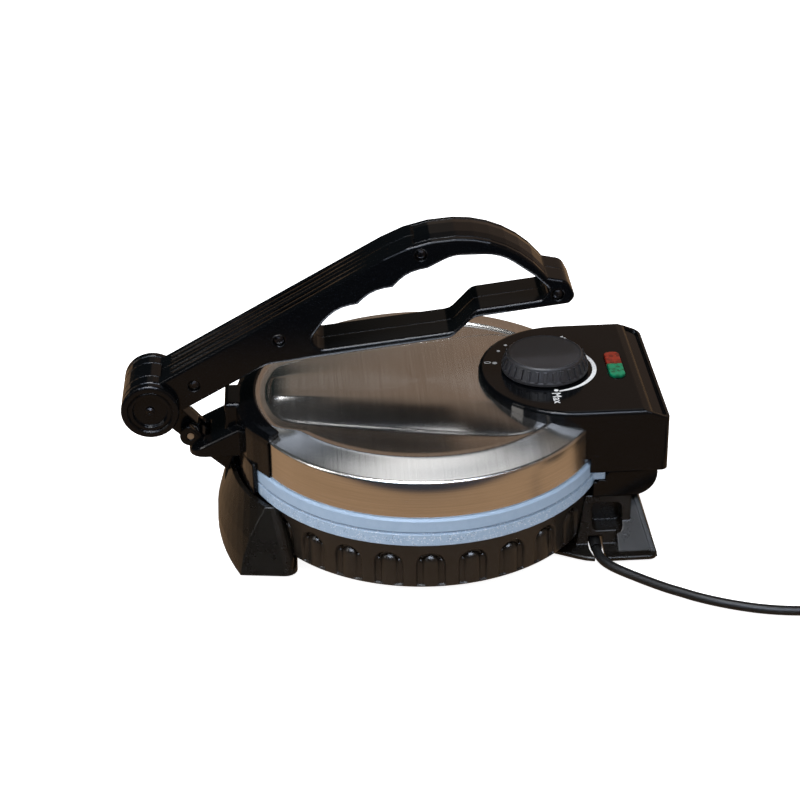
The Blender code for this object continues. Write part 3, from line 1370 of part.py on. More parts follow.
def make_press_arm():
    """The arm from the barrel over its pivot down to the toe that grips under the lower plate."""
    along = toward(BARREL, PIVOT)
    side = Vector((-along.y, along.x))
    reach = math.sqrt(BARREL_RADIUS ** 2 - LINK_HALF_DEPTH ** 2)
    centre = Vector(BARREL)
    upper_root = centre + along * reach + side * LINK_HALF_DEPTH
    lower_root = centre + along * reach - side * LINK_HALF_DEPTH
    start = math.atan2(*reversed(upper_root - centre))
    sweep = TURN - 2 * math.asin(LINK_HALF_DEPTH / BARREL_RADIUS)
    hub = []
    steps = round(sweep / EAR_STEP)
    for step in range(steps + 1):
        angle = start + sweep * step / steps
        hub.append(centre + Vector((math.cos(angle), math.sin(angle))) * BARREL_RADIUS)
    pivot_top = Vector(PIVOT) + side * PIVOT_HUB
    lower_pivot = Vector(PIVOT) - side * LINK_HALF_DEPTH
    edge = PLATE_EDGE
    link = rounded([
        (*upper_root, 0),
        (*lower_root, 0),
        (*lower_pivot, 0),
        (*ARM_HEEL, edge * 2),
        (ARM_HEEL[0] + edge, TOE_BOTTOM, edge),
        (TOE_TIP_X, TOE_BOTTOM, edge),
        (TOE_TIP_X, TOE_TOP, edge),
        (TOE_NECK_X, TOE_TOP + edge, edge),
        (*ARM_BEND, edge * 2),
        (*ARM_SHOULDER, edge * 2),
        (*pivot_top, edge * 2),
    ])
    arm = flat("press_arm", [hub], -BARREL_HALF, BARREL_HALF, edge=edge * HALF, upright=True)
    as_part(arm, "glossy_black", "claw_pivot")
    bar = flat("press_arm_bar", [link], -ARM_HALF, ARM_HALF, upright=True)
    as_cutter(bar, arm, "UNION")
    bores = []
    for (x, z), radius in ((BARREL, BARREL_PIN), (PIVOT, PIVOT_PIN)):
        bores.append(cylinder("bore", radius + CLEARANCE, -BARREL_HALF - OVERRUN, BARREL_HALF + OVERRUN,
                              (x, 0, z), axis="Y"))
    as_cutter(joined("press_arm_bores", bores), arm)


def make_pins():
    half = LUG_INNER + LUG_WIDTH
    pin = cylinder("pivot_pin", PIVOT_PIN, -half, half, (PIVOT[0], 0, PIVOT[1]), axis="Y")
    as_part(pin, "zinc", "lid_hinge")
    half = HANDLE_HALF
    pin = cylinder("barrel_pin", BARREL_PIN, -half, half, (BARREL[0], 0, BARREL[1]), axis="Y")
    as_part(pin, "zinc", "claw_pivot")


def make_springs():
    """A torsion spring on each side of the press arm, round the pivot pin."""
    wire = SPRING_WIRE
    for name, side in (("claw_spring_near", -1), ("claw_spring_far", 1)):
        start = ARM_HALF + CLEARANCE + wire
        count = SPRING_TURNS * SPRING_STEPS
        points = []
        for step in range(count + 1):
            angle = TURN * step / SPRING_STEPS
            y = start + SPRING_PITCH * step / SPRING_STEPS
            points.append(Vector((SPRING_RADIUS * math.cos(angle), side * y, SPRING_RADIUS * math.sin(angle))))
        leg = Vector((0, 0, SPRING_LEG_RISE))
        points.insert(0, points[0] - leg)
        points.append(points[-1] + leg)
        coil = tube(name, points, wire, at(PIVOT[0], 0, PIVOT[1]))
        as_part(baked(coil), "zinc", "lid_hinge")


def make_caps():
    inner = HANDLE_HALF + CAP_GAP
    top = CAP_THICKNESS
    profile = [
        (0, top - CAP_RECESS),
        (CAP_RECESS_RADIUS - CAP_GROOVE, top - CAP_RECESS),
        (CAP_RECESS_RADIUS, top - CAP_GROOVE),
        (CAP_GROOVE_RADIUS - CAP_GROOVE, top - CAP_GROOVE),
        (CAP_GROOVE_RADIUS, top - CAP_GROOVE * 2),
        (CAP_GROOVE_RADIUS + CAP_GROOVE, top),
        (BARREL_RADIUS - CAP_EDGE, top),
        (BARREL_RADIUS - CAP_EDGE * CAP_EDGE_SHARE, top - CAP_EDGE * CAP_EDGE_SHARE),
        (BARREL_RADIUS, top - CAP_EDGE),
        (BARREL_RADIUS, CAP_EDGE * HALF),
        (BARREL_RADIUS - CAP_EDGE * HALF, 0),
        (0, 0),
    ]
    screw = [
        (0, CAP_SCREW_HEAD),
        (CAP_SCREW_RADIUS * HALF, CAP_SCREW_HEAD),
        (CAP_SCREW_RADIUS, CAP_SCREW_HEAD * HALF),
        (CAP_SCREW_RADIUS, 0),
        (0, 0),
    ]
    for suffix, side, axis in (("near", -1, "-Y"), ("far", 1, "Y")):
        place = (BARREL[0], side * inner, BARREL[1])
        cap = turned("barrel_cap_" + suffix, profile, place, axis=axis, steps=CAP_STEPS)
        as_part(cap, "glossy_black", "claw_pivot")
        seat = inner + CAP_THICKNESS - CAP_RECESS + CLEARANCE
        place = (BARREL[0], side * seat, BARREL[1])
        head = turned("cap_screw_" + suffix, screw, place, axis=axis, steps=TINY_ROUND_STEPS)
        as_part(head, "dark_screw", "claw_pivot")
        as_cutter(cross_cutter("cap_screw_cross_" + suffix, place, side, CAP_SCREW_RADIUS,
                               CAP_SCREW_HEAD), head)


def cross_cutter(name, place, side, radius, head):
    """The cross recess of a screw whose head faces along Y."""
    x, y, z = place
    face = y + side * head
    near, far = sorted((face - side * CROSS_DEPTH, face + side * OVERRUN))
    reach = radius * CROSS_REACH_SHARE
    half = CROSS_WIDTH * HALF
    outline = [(half, reach), (-half, reach), (-half, half), (-reach, half), (-reach, -half), (-half, -half),
               (-half, -reach), (half, -reach), (half, -half), (reach, -half), (reach, half), (half, half)]
    spin = Matrix.Rotation(CROSS_ANGLE, 2)
    cross = flat(name, [[spin @ Vector(point) for point in outline]], near, far, upright=True)
    cross.location = cross.location + Vector((x, 0, z))
    return cross


def from_barrel(corners):
    """Corners of the handle, moved from the barrel's place to the middle of the plates."""
    return [(BARREL[0] + corner[0], *corner[1:]) for corner in corners]


def handle_outline():
    """The handle seen from the side, ear first, then underside, tip and crown."""
    upper, lower = arm_corners()
    centre = Vector(BARREL)
    start = math.atan2(*reversed(upper - centre))
    sweep = TURN - 2 * math.asin(HANDLE_ARM_HALF / BARREL_RADIUS)
    steps = round(sweep / EAR_STEP)
    ear = []
    for step in range(steps + 1):
        angle = start + sweep * step / steps
        ear.append((*(centre + Vector((math.cos(angle), math.sin(angle))) * BARREL_RADIUS), 0))
    return rounded(ear + from_barrel(HANDLE_UNDERSIDE + HANDLE_TIP + HANDLE_CROWN))


def loop_outline():
    """The hand opening, with a row of finger hollows along its upper left side."""
    cusps = from_barrel(FINGER_CUSPS)
    points = rounded(from_barrel(LOOP_FLOOR) + [(*cusps[0], 0), (*cusps[-1], 0)])[:-2]
    for start, end in zip(cusps, cusps[1:]):
        first, last = Vector(start), Vector(end)
        chord = last - first
        normal = Vector((chord.y, -chord.x)).normalized()
        for step in range(FINGER_STEPS):
            share = step / FINGER_STEPS
            points.append(first + chord * share + normal * FINGER_RISE * math.sin(math.pi * share))
    points.append(Vector(cusps[-1]))
    return points


def arm_corners():
    """Where the arm's two straight sides meet the round ear, upper side first."""
    along = Vector((math.cos(HANDLE_ARM_ANGLE), math.sin(HANDLE_ARM_ANGLE)))
    side = Vector((-along.y, along.x))
    centre = Vector(BARREL)
    reach = math.sqrt(BARREL_RADIUS ** 2 - HANDLE_ARM_HALF ** 2)
    return [centre + along * reach + side * way * HANDLE_ARM_HALF for way in (1, -1)]


def grip_points(past):
    """Points and normals along the crown, from one end of the grip insert to the other and past them."""
    arm_top = arm_corners()[0]
    tip = Vector(from_barrel(HANDLE_TIP)[-1][:2])
    right, left = from_barrel(HANDLE_CROWN)
    path = [arm_top, *fillet(arm_top, left[:2], right[:2], left[2]),
            *fillet(left[:2], right[:2], tip, right[2]), tip]
    first_x = BARREL[0] + GRIP_START_X - past
    last_x = BARREL[0] + GRIP_END_X + past
    inner = [point for point in path if first_x + GRIP_THICKNESS < point.x < last_x - GRIP_THICKNESS]
    line = [point_on(path, first_x), *inner, point_on(path, last_x)]
    stations = []
    for index, point in enumerate(line):
        before = (point - line[index - 1]).normalized() if index else (line[1] - point).normalized()
        after = (line[index + 1] - point).normalized() if index < len(line) - 1 else before
        direction = (before + after).normalized()
        stations.append((point, Vector((-direction.y, direction.x))))
    return stations


def point_on(path, x):
    """Where a line of points that runs along X reaches a place along X."""
    for start, end in zip(path, path[1:]):
        if start.x <= x <= end.x:
            return start + (end - start) * ((x - start.x) / (end.x - start.x))
    return path[-1]


def grip_band(name, half, depth, rise, crown=0, past=0):
    """A strip bent along the crown, a little domed across."""
    loops = []
    for point, normal in grip_points(past):
        low = point - normal * depth
        high = point + normal * rise
        top = point + normal * (rise + crown)
        section = [(low, -half), (high, -half), (top, -half * HALF), (top, half * HALF),
                   (high, half), (low, half)]
        loops.append([Vector((place.x, y, place.y)) for place, y in section])
    return loft(name, loops)


def make_handle():
    """Two halves that meet in the middle, round the press arm's barrel, with a grip insert on top."""
    body = flat("handle_body", [handle_outline(), loop_outline()], -HANDLE_HALF, HANDLE_HALF,
                edge=HANDLE_EDGE, upright=True)
    seam = CLEARANCE * HALF
    along = Vector((math.cos(HANDLE_ARM_ANGLE), 0, math.sin(HANDLE_ARM_ANGLE)))
    side = Vector((-along.z, 0, along.x))
    for name, direction in (("handle_near", -1), ("handle_far", 1)):
        half = bpy.data.objects.new(name, body.data.copy())
        half.location = body.location
        as_part(half, "glossy_black", "handle_fold")
        low_y, high_y = sorted((direction * seam, -direction * (HANDLE_HALF + OVERRUN)))
        away = box(name + "_other_half", (BARREL[0] - BARREL_RADIUS * 2, low_y, 0),
                   (BARREL[0] + HANDLE_TIP[0][0] + OVERRUN, high_y, HANDLE_CROWN[0][1] + OVERRUN))
        as_cutter(away, half)
        inner = direction * (BARREL_HALF + RUNNING)
        low_y, high_y = sorted((inner, -direction * OVERRUN))
        room = cylinder(name + "_barrel_room", BARREL_RADIUS + HUB_CLEARANCE, low_y, high_y,
                        (BARREL[0], 0, BARREL[1]), axis="Y", steps=CAP_STEPS)
        as_cutter(room, half)
        cuts = [cylinder("bore", BARREL_PIN + CLEARANCE, -HANDLE_HALF - OVERRUN, HANDLE_HALF + OVERRUN,
                         (BARREL[0], 0, BARREL[1]), axis="Y")]
        for place in GROOVE_PLACES:
            cuts.append(groove_cutter(direction * place, along, side))
        as_cutter(joined(name + "_bore_and_grooves", cuts), half)
        pocket = grip_band(name + "_grip_pocket", GRIP_HALF + CLEARANCE, GRIP_THICKNESS + CLEARANCE,
                           GRIP_RISE + OVERRUN, past=CLEARANCE * 2)
        as_cutter(pocket, half)
        if direction < 0:
            recesses = []
            for x, z in from_barrel(SCREW_PLACES):
                recesses.append(cylinder("recess", SCREW_RECESS_RADIUS, -HANDLE_HALF - OVERRUN,
                                         -HANDLE_HALF + SCREW_RECESS, (x, 0, z), axis="Y"))
            as_cutter(joined(name + "_screw_recesses", recesses), half)
    bpy.data.objects.remove(body, do_unlink=True)


def groove_cutter(y, along, side):
    """A round bar that leaves a long groove in the top of the arm."""
    start = Vector((BARREL[0], y, BARREL[1])) + side * (HANDLE_ARM_HALF + GROOVE_RADIUS - GROOVE_SINK)
    middle = start + along * (GROOVE_START + GROOVE_LENGTH * HALF)
    bar = cylinder("groove", GROOVE_RADIUS, -GROOVE_LENGTH * HALF, GROOVE_LENGTH * HALF, (0, 0, 0), axis="X",
                   steps=TINY_ROUND_STEPS)
    bar.data.transform(Matrix.Rotation(-HANDLE_ARM_ANGLE, 4, "Y"))
    bar.location = at(*middle)
    return bar


def make_grip_insert():
    insert = grip_band("grip_insert", GRIP_HALF, GRIP_THICKNESS, 0, GRIP_RISE)
    as_part(insert, "glossy_black", "handle_fold")


def make_handle_screws():
    profile = [
        (0, SCREW_HEAD),
        (SCREW_RADIUS * HALF, SCREW_HEAD),
        (SCREW_RADIUS, SCREW_HEAD * HALF),
        (SCREW_RADIUS, 0),
        (0, 0),
    ]
    seat = -HANDLE_HALF + SCREW_RECESS - CLEARANCE
    for index, (x, z) in enumerate(from_barrel(SCREW_PLACES)):
        place = (x, seat, z)
        head = turned(f"handle_screw_{index + 1}", profile, place, axis="-Y", steps=TINY_ROUND_STEPS)
        as_part(head, "dark_screw", "handle_fold")
        as_cutter(cross_cutter(f"handle_screw_cross_{index + 1}", place, -1, SCREW_RADIUS, SCREW_HEAD), head)



def make_knob():
    low = HOUSING_TOP + KNOB_FOOT
    top = HOUSING_TOP + KNOB_HEIGHT
    profile = [
        (0, top - KNOB_DISH),
        (KNOB_TOP_RADIUS - KNOB_FLANGE, top - KNOB_DISH * HALF),
        (KNOB_TOP_RADIUS - KNOB_FLANGE * HALF, top),
        (KNOB_TOP_RADIUS, top - KNOB_DISH),
        (KNOB_RADIUS - KNOB_RIB_DEPTH, low + KNOB_FLANGE),
        (KNOB_RADIUS, low + KNOB_FLANGE),
        (KNOB_RADIUS, low),
        (0, low),
    ]
    knob = turned("control_knob", profile, (KNOB_X, 0, 0), steps=KNOB_STEPS)
    as_part(knob, "knob_grey", "knob_turn")
    ribs = []
    slant = (KNOB_TOP_RADIUS + KNOB_RADIUS) * HALF
    for index in range(KNOB_RIBS):
        angle = TURN * index / KNOB_RIBS
        rib = bmesh.new()
        bmesh.ops.create_cube(rib, size=1)
        bmesh.ops.scale(rib, vec=(KNOB_RIB_DEPTH * 2, KNOB_RIB_WIDTH, top - low - KNOB_FLANGE * 2), verts=rib.verts)
        tilt = math.atan2(KNOB_RADIUS - KNOB_TOP_RADIUS, top - low)
        bmesh.ops.rotate(rib, matrix=Matrix.Rotation(-tilt, 3, "Y"), cent=(0, 0, 0), verts=rib.verts)
        bmesh.ops.translate(rib, vec=(slant, 0, (top + low) * HALF), verts=rib.verts)
        bmesh.ops.rotate(rib, matrix=Matrix.Rotation(angle, 3, "Z"), cent=(0, 0, 0), verts=rib.verts)
        ribs.append(from_bmesh("rib", rib, at(KNOB_X, 0, 0)))
    as_cutter(joined("control_knob_ribs", ribs), knob, "UNION")
    shaft_top = low - CLEARANCE
    shaft = cylinder("thermostat_shaft", SHAFT_RADIUS, THERMOSTAT_Z[1] + CLEARANCE, shaft_top, (KNOB_X, 0, 0))
    as_part(shaft, "zinc", "knob_turn")
    can = cylinder("thermostat_body", THERMOSTAT_RADIUS, *THERMOSTAT_Z, (KNOB_X, 0, 0))
    as_part(can, "zinc", "lid_hinge")



def make_cord():
    relief = [
        (RELIEF_BORE, 0),
        (RELIEF_TIP_RADIUS, 0),
        (RELIEF_ROOT_RADIUS, RELIEF_START - RELIEF_END),
        (RELIEF_BORE, RELIEF_START - RELIEF_END),
    ]
    sleeve = turned("strain_relief", relief, (EXIT_X, -RELIEF_END, EXIT_Z), axis="-Y",
                    steps=SMALL_ROUND_STEPS, closed=True)
    as_part(sleeve, "rubber", "base")
    points = []
    route = [Vector(point) + Vector((EXIT_X, 0, 0)) for point in CORD_ROUTE]
    for index in range(len(route) - 1):
        before = route[max(index - 1, 0)]
        start, end = route[index], route[index + 1]
        after = route[min(index + 2, len(route) - 1)]
        for step in range(CORD_SAMPLES):
            share = step / CORD_SAMPLES
            points.append(spline_point(before, start, end, after, share))
    points.append(route[-1])
    as_part(tube_part("cord", points), "cord_rubber", "base")
    inner, outer = COIL_RADIUS - COIL_HALF, COIL_RADIUS + COIL_HALF
    ring_profile = [
        (inner, COIL_CORNER * HALF), (inner, COIL_HEIGHT - COIL_CORNER),
        (inner + COIL_CORNER, COIL_HEIGHT), (outer - COIL_CORNER, COIL_HEIGHT),
        (outer, COIL_HEIGHT - COIL_CORNER), (outer, COIL_CORNER * HALF),
        (outer - COIL_CORNER * HALF, 0), (inner + COIL_CORNER * HALF, 0),
    ]
    coil = turned("cord_coil", ring_profile, (*COIL_CENTRE, 0), steps=SMALL_ROUND_STEPS, closed=True)
    as_part(coil, "cord_rubber", "base")


def tube_part(name, points):
    return baked(tube(name, points, CORD_RADIUS, at(0, 0, 0)))


def spline_point(before, start, end, after, share):
    """A point on the smooth curve through four route points."""
    square, cube = share ** 2, share ** 3
    return ((start * 2) + (end - before) * share
            + (before * 2 - start * 5 + end * 4 - after) * square
            + (start * 3 - before - end * 3 + after) * cube) * HALF


def make_plug():
    """A moulded two-pin plug that lies beside the coil, its neck against the outer turn."""
    length, width, height = PLUG_BODY
    outer = COIL_RADIUS + COIL_HALF + CLEARANCE
    x = COIL_CENTRE[0] + COIL_RADIUS + CORD_RADIUS
    inner_edge = x - PLUG_NECK_TIP - COIL_CENTRE[0]
    tip_y = COIL_CENTRE[1] + math.sqrt(outer ** 2 - inner_edge ** 2)
    start_y = tip_y + PLUG_NECK_LENGTH
    middle = height * HALF
    outline = rectangle((x - width * HALF, start_y), (x + width * HALF, start_y + length), PLUG_ROUND)
    plug = flat("plug", [outline], 0, height, edge=PLUG_ROUND * HALF)
    as_part(plug, "cord_rubber", "base")
    neck = cylinder("plug_neck", PLUG_NECK_TIP, -PLUG_NECK_LENGTH, PLUG_ROUND, (x, start_y, middle), axis="Y",
                    tip=PLUG_NECK_RADIUS)
    as_cutter(neck, plug, "UNION")
    pins = []
    for side in (-1, 1):
        pins.append(cylinder("pin", PLUG_PIN_RADIUS, -PLUG_ROUND, PLUG_PIN_LENGTH,
                             (x + side * PLUG_PIN_HALF_SPACING, start_y + length, middle), axis="Y"))
    as_cutter(joined("plug_pins", pins), plug, "UNION")


def build():
    clear_scene()
    make_collections()
    joint_empty("base", at(0, 0, 0))
    joint_empty("lid_hinge", at(HINGE_X, 0, HINGE_Z), "base")
    joint_empty("claw_pivot", at(PIVOT[0], 0, PIVOT[1]), "lid_hinge")
    joint_empty("handle_fold", at(BARREL[0], 0, BARREL[1]), "claw_pivot")
    joint_empty("knob_turn", at(KNOB_X, 0, HOUSING_TOP), "lid_hinge")
    make_bowl()
    make_bottom_cover()
    make_front_stand()
    make_rear_stand()
    make_feet()
    make_rear_box()
    make_hinge_pins()
    make_lower_plate()
    make_heat_shield()
    make_terminal_block()
    make_upper_plate()
    make_elements()
    make_lid_cover()
    make_rear_housing()
    make_lamps()
    make_front_bracket()
    make_press_arm()
    make_pins()
    make_springs()
    make_caps()
    make_handle()
    make_grip_insert()
    make_handle_screws()
    make_knob()
    make_cord()
    make_plug()
    bpy.data.scenes.remove(bpy.data.scenes["bench"])


build()
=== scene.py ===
import math

import bmesh
import bpy
from mathutils import Matrix, Vector


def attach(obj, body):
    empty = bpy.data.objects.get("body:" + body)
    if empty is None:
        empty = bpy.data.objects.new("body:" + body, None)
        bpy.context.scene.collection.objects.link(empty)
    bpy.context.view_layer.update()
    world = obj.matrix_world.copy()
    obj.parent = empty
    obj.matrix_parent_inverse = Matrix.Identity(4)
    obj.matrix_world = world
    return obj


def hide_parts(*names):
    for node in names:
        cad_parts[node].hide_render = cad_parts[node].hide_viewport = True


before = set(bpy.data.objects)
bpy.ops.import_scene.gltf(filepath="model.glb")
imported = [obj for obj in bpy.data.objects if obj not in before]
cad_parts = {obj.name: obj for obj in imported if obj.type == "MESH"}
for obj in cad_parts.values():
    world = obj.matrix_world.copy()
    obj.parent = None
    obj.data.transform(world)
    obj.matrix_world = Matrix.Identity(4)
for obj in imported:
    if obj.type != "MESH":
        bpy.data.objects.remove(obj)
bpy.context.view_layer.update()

mm = 0.001
turn = 2 * math.pi
# the middle of the plates along x
plateX = 22.3 * mm


def place(x, y, z):
    return Vector((plateX + x * mm, y * mm, z * mm))


# camera
cameraLook = {
    "elevation": 28.87,
    "azimuth": -2.85,
    "roll": -1.06,
    "eye": (-76.884, -1225.147, 762.777),
    "lens": 90,
    "sensor": 36,
}


def makeCamera(look):
    rise, swing, roll = (math.radians(look[key]) for key in ("elevation", "azimuth", "roll"))
    back = Vector((math.sin(swing) * math.cos(rise), -math.cos(swing) * math.cos(rise), math.sin(rise)))
    right = Vector((math.cos(swing), math.sin(swing), 0))
    up = back.cross(right)
    tiltedRight = math.cos(roll) * right + math.sin(roll) * up
    tiltedUp = -math.sin(roll) * right + math.cos(roll) * up
    data = bpy.data.cameras.new("photoCamera")
    data.lens = look["lens"]
    data.sensor_width = look["sensor"]
    data.clip_start = 0.05
    camera = bpy.data.objects.new("photoCamera", data)
    bpy.context.scene.collection.objects.link(camera)
    turned = Matrix((tiltedRight, tiltedUp, back)).transposed().to_4x4()
    camera.matrix_world = Matrix.Translation(place(*look["eye"])) @ turned
    bpy.context.scene.camera = camera


makeCamera(cameraLook)
print("camera ready")


# shader helper
class Signal:
    def __init__(self, tree, socket=None):
        self.tree = tree
        self.socket = socket

    def grow(self, kind, settings, inputs, output=0):
        node = self.tree.nodes.new(kind)
        for key, value in settings.items():
            setattr(node, key, value)
        for key, value in inputs.items():
            target = node.inputs[key]
            if isinstance(value, Signal):
                self.tree.links.new(value.socket, target)
            else:
                target.default_value = value
        return Signal(self.tree, node.outputs[output])

    def calc(self, operation, *terms):
        return self.grow("ShaderNodeMath", {"operation": operation}, dict(enumerate(terms)))

    def vector(self, operation, *terms):
        return self.grow("ShaderNodeVectorMath", {"operation": operation}, dict(enumerate(terms)))

    def __add__(self, other):
        return self.calc("ADD", self, other)

    def __radd__(self, other):
        return self.calc("ADD", other, self)

    def __sub__(self, other):
        return self.calc("SUBTRACT", self, other)

    def __rsub__(self, other):
        return self.calc("SUBTRACT", other, self)

    def __mul__(self, other):
        return self.calc("MULTIPLY", self, other)

    def __rmul__(self, other):
        return self.calc("MULTIPLY", other, self)

    def stretch(self, x, y, z):
        return self.vector("MULTIPLY", self, (x, y, z))

    def shift(self, x, y, z):
        return self.vector("ADD", self, (x, y, z))

    def part(self, axis):
        return self.grow("ShaderNodeSeparateXYZ", {}, {"Vector": self}, "XYZ".index(axis))

    # 0 at low, 1 at high, also where low is the larger one
    def ramp(self, low, high):
        inputs = {"Value": self, "From Min": low, "From Max": high}
        return self.grow("ShaderNodeMapRange", {"interpolation_type": "SMOOTHSTEP"}, inputs)

    def noise(self, scale, detail=3.0, roughness=0.5, distortion=0.0):
        inputs = {"Vector": self, "Scale": scale, "Detail": detail, "Roughness": roughness,
                  "Distortion": distortion}
        return self.grow("ShaderNodeTexNoise", {}, inputs)

    def cells(self, scale):
        return self.grow("ShaderNodeTexVoronoi", {}, {"Vector": self, "Scale": scale})

    # the Mix node's factor and two colours are its sockets 0, 6 and 7, and its colour comes out of 2
    def blend(self, first, second):
        ends = [end if isinstance(end, Signal) else (*end, 1) for end in (first, second)]
        return self.grow("ShaderNodeMix", {"data_type": "RGBA"}, {0: self, 6: ends[0], 7: ends[1]}, 2)

    def softEdge(self, radius):
        return self.grow("ShaderNodeBevel", {"samples": 6}, {"Radius": radius})

    def bump(self, strength, depth, under=None):
        inputs = {"Height": self, "Strength": strength, "Distance": depth}
        if under is not None:
            inputs["Normal"] = under
        return self.grow("ShaderNodeBump", {}, inputs)

    def feed(self, shader, name):
        self.tree.links.new(self.socket, shader.inputs[name])


def newMaterial(name, constants):
    made = bpy.data.materials.new(name)
    made.use_nodes = True
    tree = made.node_tree
    shader = tree.nodes["Principled BSDF"]
    for key, value in constants.items():
        shader.inputs[key].default_value = value
    return made, shader, Signal(tree).grow("ShaderNodeTexCoord", {}, {}, "Object")


# what all moulded plastics and rubbers share
mouldedGrain = {
    "scratchPull": (1, 6, 3), "scratchSeen": (0.62, 0.70), "dustSeen": (0.6, 0.8), "cloudShare": 0.7,
    "grainDepth": 0.06 * mm, "waveDepth": 0.4 * mm,
}


def mouldedPlastic(name, look):
    made, shader, coords = newMaterial(name, {"IOR": look["ior"], "Coat Weight": look["coat"],
                                              "Coat Roughness": look["coatRough"]})
    cloud = coords.noise(look["cloud"], detail=4)
    dust = coords.noise(look["dust"], detail=2, roughness=0.7).ramp(*mouldedGrain["dustSeen"])
    pulled = coords.stretch(*mouldedGrain["scratchPull"])
    scratch = pulled.noise(look["scratch"], roughness=0.6, distortion=0.4).ramp(*mouldedGrain["scratchSeen"])
    share = mouldedGrain["cloudShare"]
    (cloud * share + dust * (1 - share)).blend(look["dark"], look["light"]).feed(shader, "Base Color")
    rough = look["rough"] + (cloud - 0.5) * look["roughVary"] + scratch * look["scratchRough"]
    rough.feed(shader, "Roughness")
    edge = coords.softEdge(look["edge"])
    grain = coords.noise(look["grain"], detail=2)
    fine = grain.bump(look["grainBump"], mouldedGrain["grainDepth"], edge)
    cloud.bump(look["waveBump"], mouldedGrain["waveDepth"], fine).feed(shader, "Normal")
    return made


mouldedLooks = {
    "glossPlastic": {
        "dark": (0.0012, 0.0015, 0.0020), "light": (0.0026, 0.0029, 0.0036), "ior": 1.34, "coat": 0.0,
        "coatRough": 0.05, "cloud": 45, "dust": 1500, "scratch": 240, "rough": 0.13, "roughVary": 0.06,
        "scratchRough": 0.08, "grain": 5200, "grainBump": 0.02, "waveBump": 0.05, "edge": 1.5 * mm,
    },
    "satinPlastic": {
        "dark": (0.012, 0.0092, 0.0070), "light": (0.022, 0.0175, 0.0135), "ior": 1.5, "coat": 0.10,
        "coatRough": 0.2, "cloud": 60, "dust": 1300, "scratch": 200, "rough": 0.30, "roughVary": 0.12,
        "scratchRough": 0.12, "grain": 4200, "grainBump": 0.25, "waveBump": 0.08, "edge": 1.4 * mm,
    },
    "standPlastic": {
        "dark": (0.0040, 0.0032, 0.0024), "light": (0.0090, 0.0070, 0.0050), "ior": 1.44, "coat": 0.0,
        "coatRough": 0.2, "cloud": 60, "dust": 1300, "scratch": 200, "rough": 0.28, "roughVary": 0.12,
        "scratchRough": 0.12, "grain": 4200, "grainBump": 0.2, "waveBump": 0.08, "edge": 1.4 * mm,
    },
    "cableRubber": {
        "dark": (0.0035, 0.0035, 0.0038), "light": (0.0085, 0.0083, 0.0085), "ior": 1.42, "coat": 0.0,
        "coatRough": 0.3, "cloud": 120, "dust": 1200, "scratch": 260, "rough": 0.46, "roughVary": 0.12,
        "scratchRough": 0.06, "grain": 3600, "grainBump": 0.35, "waveBump": 0.1, "edge": 0.4 * mm,
    },
    "knobPlastic": {
        "dark": (0.020, 0.020, 0.023), "light": (0.038, 0.038, 0.042), "ior": 1.5, "coat": 0.0,
        "coatRough": 0.3, "cloud": 90, "dust": 1700, "scratch": 300, "rough": 0.42, "roughVary": 0.10,
        "scratchRough": 0.08, "grain": 6000, "grainBump": 0.55, "waveBump": 0.05, "edge": 0.6 * mm,
    },
    "softRubber": {
        "dark": (0.012, 0.012, 0.013), "light": (0.030, 0.029, 0.028), "ior": 1.45, "coat": 0.0,
        "coatRough": 0.3, "cloud": 120, "dust": 1200, "scratch": 260, "rough": 0.66, "roughVary": 0.16,
        "scratchRough": 0.06, "grain": 3600, "grainBump": 0.6, "waveBump": 0.1, "edge": 0.4 * mm,
    },
    "nylon": {
        "dark": (0.62, 0.59, 0.52), "light": (0.76, 0.74, 0.68), "ior": 1.5, "coat": 0.0,
        "coatRough": 0.3, "cloud": 80, "dust": 900, "scratch": 240, "rough": 0.45, "roughVary": 0.10,
        "scratchRough": 0.08, "grain": 3000, "grainBump": 0.3, "waveBump": 0.05, "edge": 0.4 * mm,
    },
}
moulded = {name: mouldedPlastic(name, look) for name, look in mouldedLooks.items()}
glossPlastic, satinPlastic, standPlastic, cableRubber, knobPlastic, softRubber, nylon = moulded.values()

steelLook = {
    "dark": (0.74, 0.72, 0.69), "light": (0.92, 0.90, 0.87), "seen": (0.25, 0.75), "rough": 0.22,
    "roughVary": 0.08, "stainRough": 0.06, "across": 1300, "along": 14, "stain": 22, "streakShare": 0.65,
    "anisotropic": 0.5, "bump": 0.05, "depth": 0.06 * mm, "edge": 1.4 * mm,
    "wallRadius": 120 * mm, "wallTop": (93.2 * mm, 92.5 * mm),
}


# brushed along y on the top and round the wall
def brushedSteel(name, look):
    made, shader, coords = newMaterial(name, {"Metallic": 1, "Anisotropic": look["anisotropic"]})
    centred = coords.shift(-plateX, 0, 0)
    x, y, z = (centred.part(axis) for axis in "XYZ")
    along, across = look["along"], look["across"]
    length = y.calc("ARCTAN2", y, x) * look["wallRadius"]
    unrolled = x.grow("ShaderNodeCombineXYZ", {}, {"X": length * along, "Y": z * across, "Z": 0.0})
    onTop = centred.stretch(across, along, along).noise(1, roughness=0.62)
    onWall = unrolled.noise(1, roughness=0.62)
    wall = z.ramp(*look["wallTop"])
    streak = wall * onWall + (1 - wall) * onTop
    stain = centred.noise(look["stain"])
    share = look["streakShare"]
    shade = (streak * share + stain * (1 - share)).ramp(*look["seen"])
    shade.blend(look["dark"], look["light"]).feed(shader, "Base Color")
    rough = look["rough"] + (streak - 0.5) * look["roughVary"] + (stain - 0.5) * look["stainRough"]
    rough.feed(shader, "Roughness")
    streak.bump(look["bump"], look["depth"], coords.softEdge(look["edge"])).feed(shader, "Normal")
    return made


